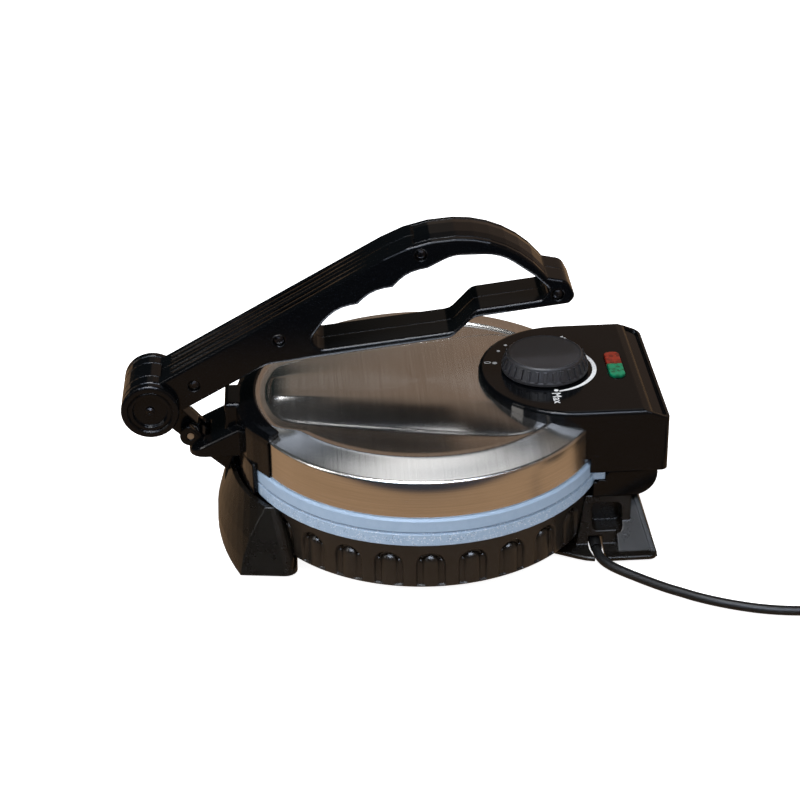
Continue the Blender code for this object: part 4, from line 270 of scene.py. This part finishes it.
coatLook = {
    "dark": (0.268, 0.360, 0.480), "light": (0.292, 0.385, 0.505), "seen": (0.3, 0.7), "rough": 0.42,
    "roughVary": 0.12, "cloud": 150, "grain": 1900, "grainBump": 0.25, "grainDepth": 0.08 * mm,
}
# size of the cells, how much of a cell its spot fills, and the noise that thins the spots out
speckLooks = [
    {"colour": (0.62, 0.66, 0.70), "cells": 820, "fill": (0.34, 0.22), "patch": 260, "seen": (0.40, 0.56),
     "shift": (0, 0, 0), "rough": 0.10},
    {"colour": (0.035, 0.045, 0.06), "cells": 1000, "fill": (0.28, 0.18), "patch": 240, "seen": (0.50, 0.60),
     "shift": (0.3, 0.1, 0.2), "rough": 0.0},
]
speckBump = {"strength": 0.35, "depth": 0.06 * mm}


def plateCoating(name, look, specks):
    made, shader, coords = newMaterial(name, {"IOR": 1.45})
    cloud = coords.noise(look["cloud"], detail=4, roughness=0.55)
    colour = cloud.ramp(*look["seen"]).blend(look["dark"], look["light"])
    normal = coords.noise(look["grain"], detail=2).bump(look["grainBump"], look["grainDepth"])
    rough = look["rough"] + (cloud - 0.5) * look["roughVary"]
    raised = None
    for speck in specks:
        spot = coords.shift(*speck["shift"]).cells(speck["cells"]).ramp(*speck["fill"])
        spot = spot * coords.noise(speck["patch"], detail=1).ramp(*speck["seen"])
        colour = spot.blend(colour, speck["colour"])
        rough = rough + spot * speck["rough"]
        raised = spot if raised is None else raised + spot
    if raised is not None:
        normal = raised.bump(speckBump["strength"], speckBump["depth"], normal)
    colour.feed(shader, "Base Color")
    rough.feed(shader, "Roughness")
    normal.feed(shader, "Normal")
    return made


metalLooks = {
    "zinc": {"dark": (0.42, 0.42, 0.41), "light": (0.62, 0.61, 0.59), "rough": 0.34, "fine": 900},
    "darkScrew": {"dark": (0.030, 0.030, 0.034), "light": (0.075, 0.075, 0.08), "rough": 0.30, "fine": 1400},
}
metalGrain = {
    "cloud": 90, "seen": (0.3, 0.7), "pull": (1, 4, 1), "roughVary": 0.14, "fineRough": 0.10,
    "bump": 0.15, "depth": 0.08 * mm,
}


def plainMetal(name, look):
    made, shader, coords = newMaterial(name, {"Metallic": 1})
    cloud = coords.noise(metalGrain["cloud"], detail=4)
    fine = coords.stretch(*metalGrain["pull"]).noise(look["fine"], detail=2, roughness=0.6)
    cloud.ramp(*metalGrain["seen"]).blend(look["dark"], look["light"]).feed(shader, "Base Color")
    rough = look["rough"] + (cloud - 0.5) * metalGrain["roughVary"] + (fine - 0.5) * metalGrain["fineRough"]
    rough.feed(shader, "Roughness")
    fine.bump(metalGrain["bump"], metalGrain["depth"]).feed(shader, "Normal")
    return made


lensLook = {
    "redLens": ((0.075, 0.004, 0.002), (0.30, 0.024, 0.010)),
    "greenLens": ((0.001, 0.060, 0.024), (0.003, 0.27, 0.13)),
    "facet": 260, "facetSeen": (0.1, 0.8), "facetShare": 0.6, "cloud": 320, "rough": 0.16, "roughVary": 0.12,
    "bump": 0.5, "depth": 0.4 * mm,
}


def lensPlastic(name, look):
    made, shader, coords = newMaterial(name, {"IOR": 1.45, "Transmission Weight": 0.1, "Coat Weight": 0.5,
                                              "Coat Roughness": 0.08})
    facets = coords.cells(look["facet"])
    cloud = coords.noise(look["cloud"], detail=2)
    share = look["facetShare"]
    shade = facets.ramp(*look["facetSeen"]) * share + cloud * (1 - share)
    shade.blend(*look[name]).feed(shader, "Base Color")
    (look["rough"] + cloud * look["roughVary"]).feed(shader, "Roughness")
    facets.bump(look["bump"], look["depth"]).feed(shader, "Normal")
    return made


printLook = {
    "dark": (0.60, 0.62, 0.63), "light": (0.80, 0.81, 0.82), "cover": 900, "seen": (0.3, 0.6),
    "rough": 0.42, "roughVary": 0.1, "bump": 0.1, "depth": 0.03 * mm,
}


def printedWhite(name, look):
    made, shader, coords = newMaterial(name, {"IOR": 1.45})
    cover = coords.noise(look["cover"])
    cover.ramp(*look["seen"]).blend(look["dark"], look["light"]).feed(shader, "Base Color")
    (look["rough"] + cover * look["roughVary"]).feed(shader, "Roughness")
    cover.bump(look["bump"], look["depth"]).feed(shader, "Normal")
    return made


lidSteel = brushedSteel("brushedSteel", steelLook)
upperCoat = plateCoating("upperCoat", coatLook, [])
lowerCoat = plateCoating("lowerCoat", coatLook, speckLooks)
zinc, darkScrew = (plainMetal(name, look) for name, look in metalLooks.items())
redLens, greenLens = (lensPlastic(name, lensLook) for name in ("redLens", "greenLens"))
whitePrint = printedWhite("printedWhite", printLook)
print("materials ready")


# dress the carried-over nodes
dress = {
    "base_bowl": satinPlastic, "bottom_cover": satinPlastic, "front_stand": standPlastic,
    "rear_stand": standPlastic, "rear_box": glossPlastic, "rear_housing": glossPlastic,
    "front_bracket": glossPlastic, "press_arm": glossPlastic, "barrel_cap_near": glossPlastic,
    "barrel_cap_far": glossPlastic, "handle_near": glossPlastic, "handle_far": glossPlastic,
    "grip_insert": glossPlastic, "lid_cover": lidSteel, "upper_plate": upperCoat, "lower_plate": lowerCoat,
    "control_knob": knobPlastic, "red_lens": redLens, "green_lens": greenLens, "lamp_holder": nylon,
    "terminal_block": nylon, "strain_relief": cableRubber, "plug": cableRubber,
}
for name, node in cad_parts.items():
    finish = dress.get(name)
    if finish is None:
        if "screw" in name:
            finish = darkScrew
        elif "rubber" in name or "cord" in name:
            finish = softRubber
        else:
            finish = zinc
    node.data.materials.clear()
    node.data.materials.append(finish)


# shared by the pieces that follow
sharpAngle = math.radians(35)


def addPiece(name, shape, finish, body, smooth=True):
    bmesh.ops.recalc_face_normals(shape, faces=shape.faces)
    mesh = bpy.data.meshes.new(name)
    shape.to_mesh(mesh)
    shape.free()
    if smooth:
        mesh.shade_smooth()
        mesh.set_sharp_from_angle(angle=sharpAngle)
    mesh.materials.append(finish)
    piece = bpy.data.objects.new(name, mesh)
    bpy.context.scene.collection.objects.link(piece)
    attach(piece, body)
    return piece


def clamp(share):
    return min(max(share, 0), 1)


def ease(share):
    share = clamp(share)
    return share * share * (3 - 2 * share)


def spread(low, high, shares):
    return [low + (high - low) * share for share in shares]


def evenShares(count):
    return [step / count for step in range(count + 1)]


def around(centre, radius, angle):
    return centre[0] + radius * math.cos(angle), centre[1] + radius * math.sin(angle)


# a column of vertices at one angle round the middle of the plates, from its radii and heights
def upright(shape, angle, column):
    return [shape.verts.new(place(*around((0, 0), r, angle), z)) for r, z in column]


# quads between closed rings of vertices, and from the last ring to the first where loop is set
def skin(shape, rings, loop=False):
    rings = list(rings)
    for first, second in zip(rings, rings[1:] + rings[:1] if loop else rings[1:]):
        for step in range(len(first)):
            after = (step + 1) % len(first)
            shape.faces.new((first[step], first[after], second[after], second[step]))


# cord, with a groove above and below like a twin lead's
cordLook = {
    "radius": 3.3, "sides": 16, "groove": 0.45, "grooveWide": 0.17, "smooth": 3,
    "route": [
        (114.0, -76.3, 5.2), (114.3, -81.8, 4.9), (115.6, -87.4, 4.4), (118.4, -92.6, 3.9),
        (123.0, -98.2, 3.6), (129.0, -104.0, 3.5), (135.2, -109.6, 3.5), (141.6, -115.2, 3.5),
        (148.4, -120.8, 3.5), (155.4, -126.2, 3.5), (163.0, -131.2, 3.5), (172.0, -137.2, 3.5),
        (183.0, -143.2, 3.5), (196.0, -149.0, 3.5), (211.0, -154.2, 3.5), (227.0, -157.6, 3.5),
        (244.0, -159.4, 3.5), (262.0, -160.0, 3.5),
    ],
    "centre": (306, -119),
    "outer": 40.6,
    "inner": 33.6,
    "levels": (3.5, 10.3, 17.1),
    "samples": 24,
    "shiftShare": 0.22,
    "plugAxis": (346.3, -92.9, 7.0),
    "plugDip": 0.6,
    "plugGap": 0.3,
}


def coilPoints(look):
    low, middle, high = look["levels"]
    outer, inner = look["outer"], look["inner"]
    # radius and height that each turn eases into
    stages = [(outer, low), (inner, low), (inner, middle), (inner, high), (outer, middle)]
    count = look["samples"]
    angles = [turn * step / count - turn / 4 for step in range(count)]
    points = []
    for before, after in zip(stages[:1] + stages, stages):
        for step, angle in enumerate(angles):
            share = ease(step / count / look["shiftShare"])
            r, z = (first + (last - first) * share for first, last in zip(before, after))
            points.append((*around(look["centre"], r, angle), z))
    # a quarter turn more, then down to the plug
    radius, height = stages[-1]
    points += [(*around(look["centre"], radius, angle), height) for angle in angles[:count // 4 + 1]]
    x, y, z = look["plugAxis"]
    points.append((x, (look["centre"][1] + y) / 2, height - (height - z) * look["plugDip"]))
    points.append((x, y - look["plugGap"], z))
    return points


def splineThrough(points, pieces):
    finer = []
    for index in range(len(points) - 1):
        a = points[max(index - 1, 0)]
        b, c = points[index], points[index + 1]
        d = points[min(index + 2, len(points) - 1)]
        for step in range(pieces):
            t = step / pieces
            bent = (a * 2 - b * 5 + c * 4 - d) * t ** 2 + (b * 3 - a - c * 3 + d) * t ** 3
            finer.append((b * 2 + (c - a) * t + bent) * 0.5)
    finer.append(points[-1])
    return finer


def sweepCord(name, path, look):
    shape = bmesh.new()
    rings = []
    for index, point in enumerate(path):
        along = (path[min(index + 1, len(path) - 1)] - path[max(index - 1, 0)]).normalized()
        side = along.cross(Vector((0, 0, 1))).normalized()
        up = side.cross(along)
        ring = []
        for step in range(look["sides"]):
            angle = turn * step / look["sides"]
            dent = math.exp(-((math.cos(angle) / look["grooveWide"]) ** 2)) * look["groove"]
            reach = (look["radius"] - dent) * mm
            ring.append(shape.verts.new(point + (side * math.cos(angle) + up * math.sin(angle)) * reach))
        rings.append(ring)
    skin(shape, rings)
    shape.faces.new(rings[0])
    shape.faces.new(rings[-1])
    return addPiece(name, shape, cableRubber, "base")


cordPath = [place(*point) for point in cordLook["route"] + coilPoints(cordLook)]
cordPath = splineThrough(cordPath, cordLook["smooth"])
cordLength = sum((b - a).length for a, b in zip(cordPath, cordPath[1:]))
cord = sweepCord("mainsCord", cordPath, cordLook)
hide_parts("cord", "cord_coil")

tieLook = {
    "angle": 200, "width": 6, "thick": 0.8, "low": 0.3, "inner": 28.6, "outer": 45.2, "top": 21.2,
    "sides": 32, "roundness": 0.45,
}


# a band round the turns, as a flat ring with an outer and an inner outline
def makeTie(look):
    angle = math.radians(look["angle"])
    out = Vector((math.cos(angle), math.sin(angle), 0))
    aside = Vector((-math.sin(angle), math.cos(angle), 0))
    centre = place(*cordLook["centre"], 0)
    half, middle = (look["outer"] - look["inner"]) / 2, (look["outer"] + look["inner"]) / 2
    tall = (look["top"] - look["low"]) / 2
    outlines = []
    for inset in (0, look["thick"]):
        outline = []
        for step in range(look["sides"]):
            corner = around((0, 0), 1, turn * step / look["sides"])
            x, z = (math.copysign(abs(part) ** look["roundness"], part) for part in corner)
            x = x * (half - inset) + middle
            z = z * (tall - inset) + tall + look["low"]
            outline.append(centre + out * (x * mm) + Vector((0, 0, z * mm)))
        outlines.append(outline)
    shape = bmesh.new()
    nearOuter, nearInner, farOuter, farInner = (
        [shape.verts.new(point + aside * (way * look["width"] / 2 * mm)) for point in outline]
        for way in (-1, 1) for outline in outlines)
    skin(shape, [nearOuter, farOuter, farInner, nearInner], loop=True)
    return addPiece("coilTie", shape, softRubber, "base")


tie = makeTie(tieLook)
print("cord ready", round(cordLength, 3))


# stamped steel lid, finer than its solid
lidLook = {
    "seat": 66.6, "wallRadius": 125.2, "wallLean": 0.012, "sheet": 1.2, "steps": 288,
    # rounded rim: middle of its arc, its radius, and how far up the arc goes in degrees
    "arc": (122.6, 91.6, 2.3), "lip": 81, "arcStep": 9,
    # bevel from the rim in to the crease, a little hollow where it is wide
    "crease": 98.9, "creaseRadius": 99.3, "creaseSpread": 5.5, "creaseFront": 116, "creaseWide": 1,
    "frontSector": (24, 36), "hollow": 0.25, "hollowWidth": 23,
    # slope from the plateau down to a low step at its foot
    "drop": 4.2, "power": 1.55, "step": 0.4, "stepWide": 1.6,
    "slopeHalf": 64.9, "slopeSpread": 0.215, "slopeFront": 113.5, "slopeInset": 2,
    # plateau, with its edge drawn back where the slope is wide
    "top": 101.5, "plateauHalf": 30.4, "plateauSpread": 0.146, "plateauFront": 109, "plateauRear": 94,
    "plateauInset": 3, "edgeBack": 9, "wideSlope": 20,
    "shaft": (85.5, 4.6), "shaftHeights": (90, 108),
}
# where the lid's columns have points: shares of a stretch, or distances from a line in mm
lidStops = {
    "plateau": (0.2, 0.45, 0.7, 0.88), "slope": 16, "slopeEnd": 2.2, "foot": (-1.8, -1.4, -1.0, -0.6, -0.2),
    "pocket": (0.12, 0.3, 0.55, 0.8, 1), "pocketBack": 1.6, "crease": (-1.1, -0.7, -0.3, 0.1, 0.6, 1.2),
    "bevel": 8, "margin": 0.4, "wall": (0.7, 0.35, 0.0),
}
# the lid's bends are softened by averaging heights this many mm to each side, as (share of it, weight)
lidBlur = 0.9
blurWeights = ((-1, 1), (-0.5, 2), (0, 3), (0.5, 2), (1, 1))
outlinePower = 14


def sideLine(angle, half, slope):
    slant = abs(math.sin(angle)) - slope * math.cos(angle)
    return half / slant if slant > 0 else math.inf


def softMin(values):
    return sum(value ** -outlinePower for value in values) ** (-1 / outlinePower)


# radii of the plateau's edge, the slope's foot and the crease
def lidRadii(look, angle):
    away = math.degrees(math.pi - abs((angle + math.pi) % turn - math.pi))
    low, high = look["frontSector"]
    front = 1 - ease((away - low) / (high - low))
    crease = look["creaseRadius"] + look["creaseSpread"] * math.cos(angle) ** 2
    crease += (look["creaseFront"] - crease) * front
    slopeSide = sideLine(angle, look["slopeHalf"], look["slopeSpread"])
    foot = softMin([crease - look["slopeInset"], slopeSide, look["slopeFront"]])
    end = look["plateauFront"] if math.cos(angle) < 0 else look["plateauRear"]
    edge = softMin([sideLine(angle, look["plateauHalf"], look["plateauSpread"]), end])
    return min(foot - look["plateauInset"], edge), foot, crease


def slopeStart(look, radii):
    edge, foot, crease = radii
    return edge - look["edgeBack"] * min(1, (foot - edge) / look["wideSlope"])


def lipPoint(look):
    x, z, radius = look["arc"]
    return around((x, z), radius, math.radians(look["lip"]))


def lidHeight(look, radii, r):
    edge, foot, crease = radii
    start = slopeStart(look, radii)
    bottom = look["top"] - look["drop"] - look["step"]
    if r < start:
        return look["top"]
    if r < foot:
        fall = look["drop"] * ((r - start) / (foot - start)) ** look["power"]
        return look["top"] - fall - look["step"] * max((r - foot) / look["stepWide"] + 1, 0)
    if r < crease - look["creaseWide"]:
        return bottom
    if r < crease:
        return bottom + (look["crease"] - bottom) * ((r - crease) / look["creaseWide"] + 1)
    lip, lipHeight = lipPoint(look)
    share = (r - crease) / (lip - crease)
    sag = look["hollow"] * math.sin(math.pi * clamp(share)) * min(1, (lip - crease) / look["hollowWidth"])
    return look["crease"] + (lipHeight - look["crease"]) * share - sag


def blurredHeight(look, radii, r):
    total = sum(lidHeight(look, radii, abs(r + share * lidBlur)) * weight for share, weight in blurWeights)
    return total / sum(weight for share, weight in blurWeights)


# radius and height of the points of one column, from the middle out, down the wall and back inside
def lidColumn(look, stops, angle):
    radii = lidRadii(look, angle)
    edge, foot, crease = radii
    start = slopeStart(look, radii)
    lip = lipPoint(look)[0]
    pocket = max(foot + stops["margin"], crease - stops["pocketBack"])
    bevel = crease + stops["crease"][-1]
    spots = spread(0, start, stops["plateau"])
    spots += spread(start, foot - stops["slopeEnd"], evenShares(stops["slope"]))
    spots += [foot + shift for shift in stops["foot"]]
    spots += spread(foot, pocket, stops["pocket"])
    spots += [crease + shift for shift in stops["crease"]]
    spots += spread(bevel, lip - stops["margin"], evenShares(stops["bevel"])[1:])
    column = [(r, blurredHeight(look, radii, r)) for r in sorted(spots)]
    x, z, radius = look["arc"]
    seat, sheet, outside = look["seat"], look["sheet"], look["wallRadius"]
    column += [around((x, z), radius, math.radians(bend)) for bend in range(look["lip"], 0, -look["arcStep"])]
    for share in stops["wall"]:
        rise = (z - seat) * share
        column.append((outside - rise * look["wallLean"], seat + rise))
    column += [(outside - sheet, seat), (x + radius - sheet, z), (x, z + radius - sheet)]
    inside = (crease, crease - look["creaseWide"], foot, start, start / 2)
    return column + [(r, lidHeight(look, radii, r) - sheet) for r in inside]


def makeLid(look, stops):
    shape = bmesh.new()
    angles = [turn * share for share in evenShares(look["steps"])[:-1]]
    columns = [upright(shape, angle, lidColumn(look, stops, angle)) for angle in angles]
    skin(shape, zip(*columns))
    top = shape.verts.new(place(0, 0, look["top"]))
    under = shape.verts.new(place(0, 0, look["top"] - look["sheet"]))
    for column, after in zip(columns, columns[1:] + columns[:1]):
        shape.faces.new((top, after[0], column[0]))
        shape.faces.new((under, column[-1], after[-1]))
    return addPiece("steelLid", shape, lidSteel, "lid")


def drill(piece, x, radius, low, high):
    shape = bmesh.new()
    bmesh.ops.create_cone(shape, cap_ends=True, segments=24, radius1=radius * mm, radius2=radius * mm,
                          depth=(high - low) * mm, matrix=Matrix.Translation(place(x, 0, (low + high) / 2)))
    mesh = bpy.data.meshes.new("drill")
    shape.to_mesh(mesh)
    shape.free()
    cutter = bpy.data.objects.new("drill", mesh)
    bpy.context.scene.collection.objects.link(cutter)
    carve = piece.modifiers.new("drill", "BOOLEAN")
    carve.operation = "DIFFERENCE"
    carve.object = cutter
    carve.solver = "EXACT"
    bpy.context.view_layer.update()
    piece.data = bpy.data.meshes.new_from_object(piece.evaluated_get(bpy.context.evaluated_depsgraph_get()))
    piece.modifiers.clear()
    bpy.data.objects.remove(cutter)


steelLid = makeLid(lidLook, lidStops)
drill(steelLid, *lidLook["shaft"], *lidLook["shaftHeights"])
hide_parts("lid_cover")
print("lid ready")


# fluted bowl, finer than its solid
bowlLook = {
    "bottom": 9.4, "top": 45.7, "low": 121.2, "high": 122.5, "wall": 3, "round": 2.2,
    # flutes: an arch with a round rib in it, deeper towards the top
    "count": 9, "pitch": 13.4, "shift": -1.6, "width": 19, "arch": 37, "depth": (1.5, 3.8), "deepen": 1.6,
    "soft": 0.6, "rib": 5.4, "ribTop": 8.6, "ribShare": 0.9,
    # ledge inside that carries the bottom cover: low, high and width
    "ledge": (13.8, 16.8, 6),
    # distances along the wall from a flute's middle where columns stand, and the space kept free past them
    "offsets": (0, 1.2, 2.4, 3.4, 4.1, 4.6, 5.0, 5.5, 6.4, 7.4, 8.2, 8.7, 9.1, 9.4, 9.7, 10.0, 10.4, 11.2),
    "space": 0.8, "steps": 150, "rows": 42,
    "rim": ((0.7, 0), (0.1, 0.5)), "roundStops": (15, 35, 55, 75, 90),
}
anglePlaces = 5


def fluteMiddles(look):
    leans = [math.radians(look["shift"] + look["pitch"] * (index - (look["count"] - 1) / 2))
             for index in range(look["count"])]
    return [side * (math.pi / 2 - lean) for side in (-1, 1) for lean in leans]


def fluteDepth(look, middles, angle, z):
    half = look["width"] / 2
    spring = look["arch"] - half
    shallow, deep = look["depth"]
    deepest = 0
    for middle in middles:
        across = abs((angle - middle + math.pi) % turn - math.pi) * look["low"]
        if across > look["width"]:
            continue
        reach = half - (math.hypot(across, z - spring) if z > spring else across)
        edge = ease(reach / look["soft"] / 2 + 0.5)
        tall = clamp((z - look["bottom"]) / (look["arch"] - look["bottom"]))
        apart = min(math.hypot(across, max(z - look["arch"] + look["ribTop"], 0)) / look["rib"], 1)
        rib = math.sqrt(1 - apart * apart) * look["ribShare"]
        deepest = max(deepest, edge * (shallow + (deep - shallow) * tall ** look["deepen"]) * (1 - rib))
    return deepest


def bowlAngles(look, middles):
    spots = {round(turn * step / look["steps"], anglePlaces) for step in range(look["steps"])}
    dense = set()
    for middle in (middle % turn for middle in middles):
        free = (look["offsets"][-1] + look["space"]) / look["low"]
        spots = {spot for spot in spots if abs(spot - middle) > free}
        for offset in look["offsets"]:
            for side in (-1, 1):
                dense.add(round((middle + side * offset / look["low"]) % turn, anglePlaces))
    return sorted(spots | dense)


def bowlColumn(look, middles, angle):
    bottom, top, low, high = (look[key] for key in ("bottom", "top", "low", "high"))
    column = [(high - look["wall"], top)]
    column += [(high - inset, top - drop) for inset, drop in look["rim"]]
    for row in range(1, look["rows"]):
        z = max(top - (top - bottom) * row / look["rows"], bottom + look["round"])
        r = low + (high - low) * (z - bottom) / (top - bottom)
        column.append((r - fluteDepth(look, middles, angle, z), z))
    centre = (low - look["round"], bottom + look["round"])
    column += [around(centre, look["round"], -math.radians(bend)) for bend in look["roundStops"]]
    inner = low - look["wall"]
    ledgeLow, ledgeHigh, ledgeWide = look["ledge"]
    return column + [(inner, bottom), (inner, ledgeLow), (inner - ledgeWide, ledgeLow),
                     (inner - ledgeWide, ledgeHigh), (inner, ledgeHigh)]


def makeBowl(look):
    shape = bmesh.new()
    middles = fluteMiddles(look)
    columns = [upright(shape, angle, bowlColumn(look, middles, angle)) for angle in bowlAngles(look, middles)]
    skin(shape, zip(*columns), loop=True)
    return addPiece("flutedBowl", shape, satinPlastic, "base")


flutedBowl = makeBowl(bowlLook)
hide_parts("base_bowl")
print("bowl ready")


# dial print
dialLook = {
    "top": 106.9, "thick": 0.12, "sink": 0.02, "centre": (85.5, 0), "weld": 0.002,
    # dots as (x, y, radius), and the zero as (x, y), half its height and width, and its line's thickness
    "dots": [(62, 37, 1.2), (56, 28.5, 1.2), (51.6, 10.6, 1.7), (89.5, -33.0, 1.5)], "dotSteps": 20,
    "zero": (46.6, 11.8), "zeroHalf": (2.5, 1.6), "zeroLine": (0.7, 0.6),
    "arcRadius": 34.6, "arcEnds": (-80, 52), "arcThin": 1.3, "arcWide": 2.9, "arcSwell": 0.7, "arcSteps": 40,
    # word, its corner, its size and its lean in degrees
    "words": [("Max", 86.0, -36.0, 8.8, -90), ("Min", 100.5, 46.0, 6.0, -60)],
}


def prism(shape, outline, look):
    heights = (look["top"] - look["sink"], look["top"] + look["thick"])
    bottom, top = ([shape.verts.new(place(x, y, z)) for x, y in outline] for z in heights)
    shape.faces.new(bottom)
    shape.faces.new(top)
    skin(shape, [bottom, top])


def makeDialPrint(look):
    shape = bmesh.new()
    count = look["dotSteps"]
    angles = [turn * step / count for step in range(count)]
    for x, y, radius in look["dots"]:
        prism(shape, [around((x, y), radius, angle) for angle in angles], look)
    x, y = look["zero"]
    wide, tall = look["zeroHalf"]
    thinX, thinY = look["zeroLine"]
    for first, second in zip(angles, angles[1:] + [turn]):
        outline = [(x + wide * math.cos(angle), y + tall * math.sin(angle)) for angle in (first, second)]
        outline += [(x + (wide - thinX) * math.cos(angle), y + (tall - thinY) * math.sin(angle))
                    for angle in (second, first)]
        prism(shape, outline, look)
    outline = []
    start, end = (math.radians(bend) for bend in look["arcEnds"])
    shares = evenShares(look["arcSteps"])
    for way, order in ((1, shares), (-1, shares[::-1])):
        for share in order:
            swell = max(math.sin(math.pi * share), 0) ** look["arcSwell"]
            half = (look["arcThin"] + (look["arcWide"] - look["arcThin"]) * swell) / 2
            angle = start + (end - start) * share
            outline.append(around(look["centre"], look["arcRadius"] + way * half, angle))
    prism(shape, outline, look)
    return addPiece("dialPrint", shape, whitePrint, "lid", smooth=False)


def makeWord(look, word, x, y, size, lean):
    curve = bpy.data.curves.new(word, "FONT")
    curve.body = word
    curve.size = size * mm
    curve.extrude = look["thick"] / 2 * mm
    letters = bpy.data.objects.new(word, curve)
    bpy.context.scene.collection.objects.link(letters)
    bpy.context.view_layer.update()
    mesh = bpy.data.meshes.new_from_object(letters.evaluated_get(bpy.context.evaluated_depsgraph_get()))
    bpy.data.objects.remove(letters)
    spot = place(x, y, look["top"] + look["thick"] / 2)
    mesh.transform(Matrix.Translation(spot) @ Matrix.Rotation(math.radians(lean), 4, "Z"))
    shape = bmesh.new()
    shape.from_mesh(mesh)
    bmesh.ops.remove_doubles(shape, verts=shape.verts, dist=look["weld"] * mm)
    return addPiece("word" + word, shape, whitePrint, "lid", smooth=False)


dialPrint = makeDialPrint(dialLook)
for word in dialLook["words"]:
    makeWord(dialLook, *word)
print("dial print ready")


# floor, light and background
stageLook = {
    "size": 6, "drop": 0.4, "floor": (0.93, 0.93, 0.93), "rough": 0.9, "glow": 0.9,
    # what the glossy pieces mirror of the floor: tan near the object, dark far in front, dimmer in the middle
    "mirrored": (0.37, 0.235, 0.135), "far": (0.030, 0.036, 0.050), "fade": (-0.325, -0.265),
    "shade": (0.10, 0.02), "shadeShare": 0.5,
}
white, black = (1, 1, 1), (0, 0, 0)


def rayKinds(tree):
    kinds = ("Is Camera Ray", "Is Glossy Ray")
    return [Signal(tree).grow("ShaderNodeLightPath", {}, {}, kind) for kind in kinds]


def makeFloor(look):
    shape = bmesh.new()
    bmesh.ops.create_grid(shape, x_segments=1, y_segments=1, size=look["size"] / 2)
    mesh = bpy.data.meshes.new("studioFloor")
    shape.to_mesh(mesh)
    shape.free()
    floor = bpy.data.objects.new("studioFloor", mesh)
    floor.location = (0, 0, -look["drop"] * mm)
    bpy.context.scene.collection.objects.link(floor)
    made, shader, coords = newMaterial("studioFloor", {"Roughness": look["rough"], "Specular IOR Level": 0,
                                                       "Emission Strength": look["glow"]})
    seen, glossy = rayKinds(made.node_tree)
    near = coords.part("Y").ramp(*look["fade"])
    shade = coords.part("X").calc("ABSOLUTE").ramp(*look["shade"]) * look["shadeShare"]
    mirrored = (near * (1 - shade)).blend(look["far"], look["mirrored"])
    glossy.blend(look["floor"], black).feed(shader, "Base Color")
    seen.blend(glossy.blend(black, mirrored), white).feed(shader, "Emission Color")
    mesh.materials.append(made)


lightLook = {
    "front": {"size": (0.7, 0.3), "power": 26, "at": (-0.25, -0.55, 1.95), "to": (0, 0, 0.05),
              "colour": (0.97, 0.98, 1)},
    "left": {"size": (0.25, 0.9), "power": 5, "at": (-1.4, -0.5, 0.9), "to": (-0.1, 0, 0.08),
             "colour": (1, 0.98, 0.96)},
}


def makeLights(looks):
    for name, look in looks.items():
        data = bpy.data.lights.new(name + "Light", "AREA")
        data.shape = "RECTANGLE"
        data.size, data.size_y = look["size"]
        data.energy = look["power"]
        data.color = look["colour"]
        lamp = bpy.data.objects.new(name + "Light", data)
        lamp.location = look["at"]
        aim = Vector(look["to"]) - Vector(look["at"])
        lamp.rotation_euler = aim.to_track_quat("-Z", "Y").to_euler()
        bpy.context.scene.collection.objects.link(lamp)


# the soft light of the room, and the bright and dark places that the glossy pieces mirror
worldLook = {
    "soft": (0.60, 0.61, 0.63), "high": (0.010, 0.014, 0.014), "fade": (0.58, 0.68),
    "left": (0.135, 0.116, 0.098), "right": (0.205, 0.143, 0.103), "middle": (-0.05, 0.08),
    "side": (-0.10, -0.04),
    "patches": [
        {"colour": (1.25, 1.27, 1.3), "x": ((-0.10, -0.05), (0.25, 0.17)), "y": (0.1, 0.3),
         "z": ((0.70, 0.75), (0.92, 0.87))},
        {"colour": (14, 16, 19.5), "x": ((-0.55, -0.35), (0.45, 0.30)), "y": (-0.15, -0.25),
         "z": ((0.60, 0.67), (0.82, 0.77))},
    ],
}


def makeWorld(look):
    world = bpy.data.worlds.new("studioWorld")
    world.use_nodes = True
    bpy.context.scene.world = world
    tree = world.node_tree
    seen, glossy = rayKinds(tree)
    direction = Signal(tree).grow("ShaderNodeTexCoord", {}, {}, "Generated")
    x, y, z = (direction.part(axis) for axis in "XYZ")
    low = x.ramp(*look["middle"]).blend(look["left"], look["right"])
    low = x.ramp(*look["side"]).blend(look["high"], low)
    mirrored = z.ramp(*look["fade"]).blend(low, look["high"])
    for patch in look["patches"]:
        share = y.ramp(*patch["y"])
        for axis, edges in ((x, patch["x"]), (z, patch["z"])):
            for edge in edges:
                share = share * axis.ramp(*edge)
        mirrored = share.blend(mirrored, patch["colour"])
    background = tree.nodes["Background"]
    seen.blend(glossy.blend(look["soft"], mirrored), white).feed(background, "Color")


makeFloor(stageLook)
makeLights(lightLook)
makeWorld(worldLook)
bpy.context.scene.view_settings.view_transform = "Standard"
print("stage ready")

bpy.context.view_layer.update()
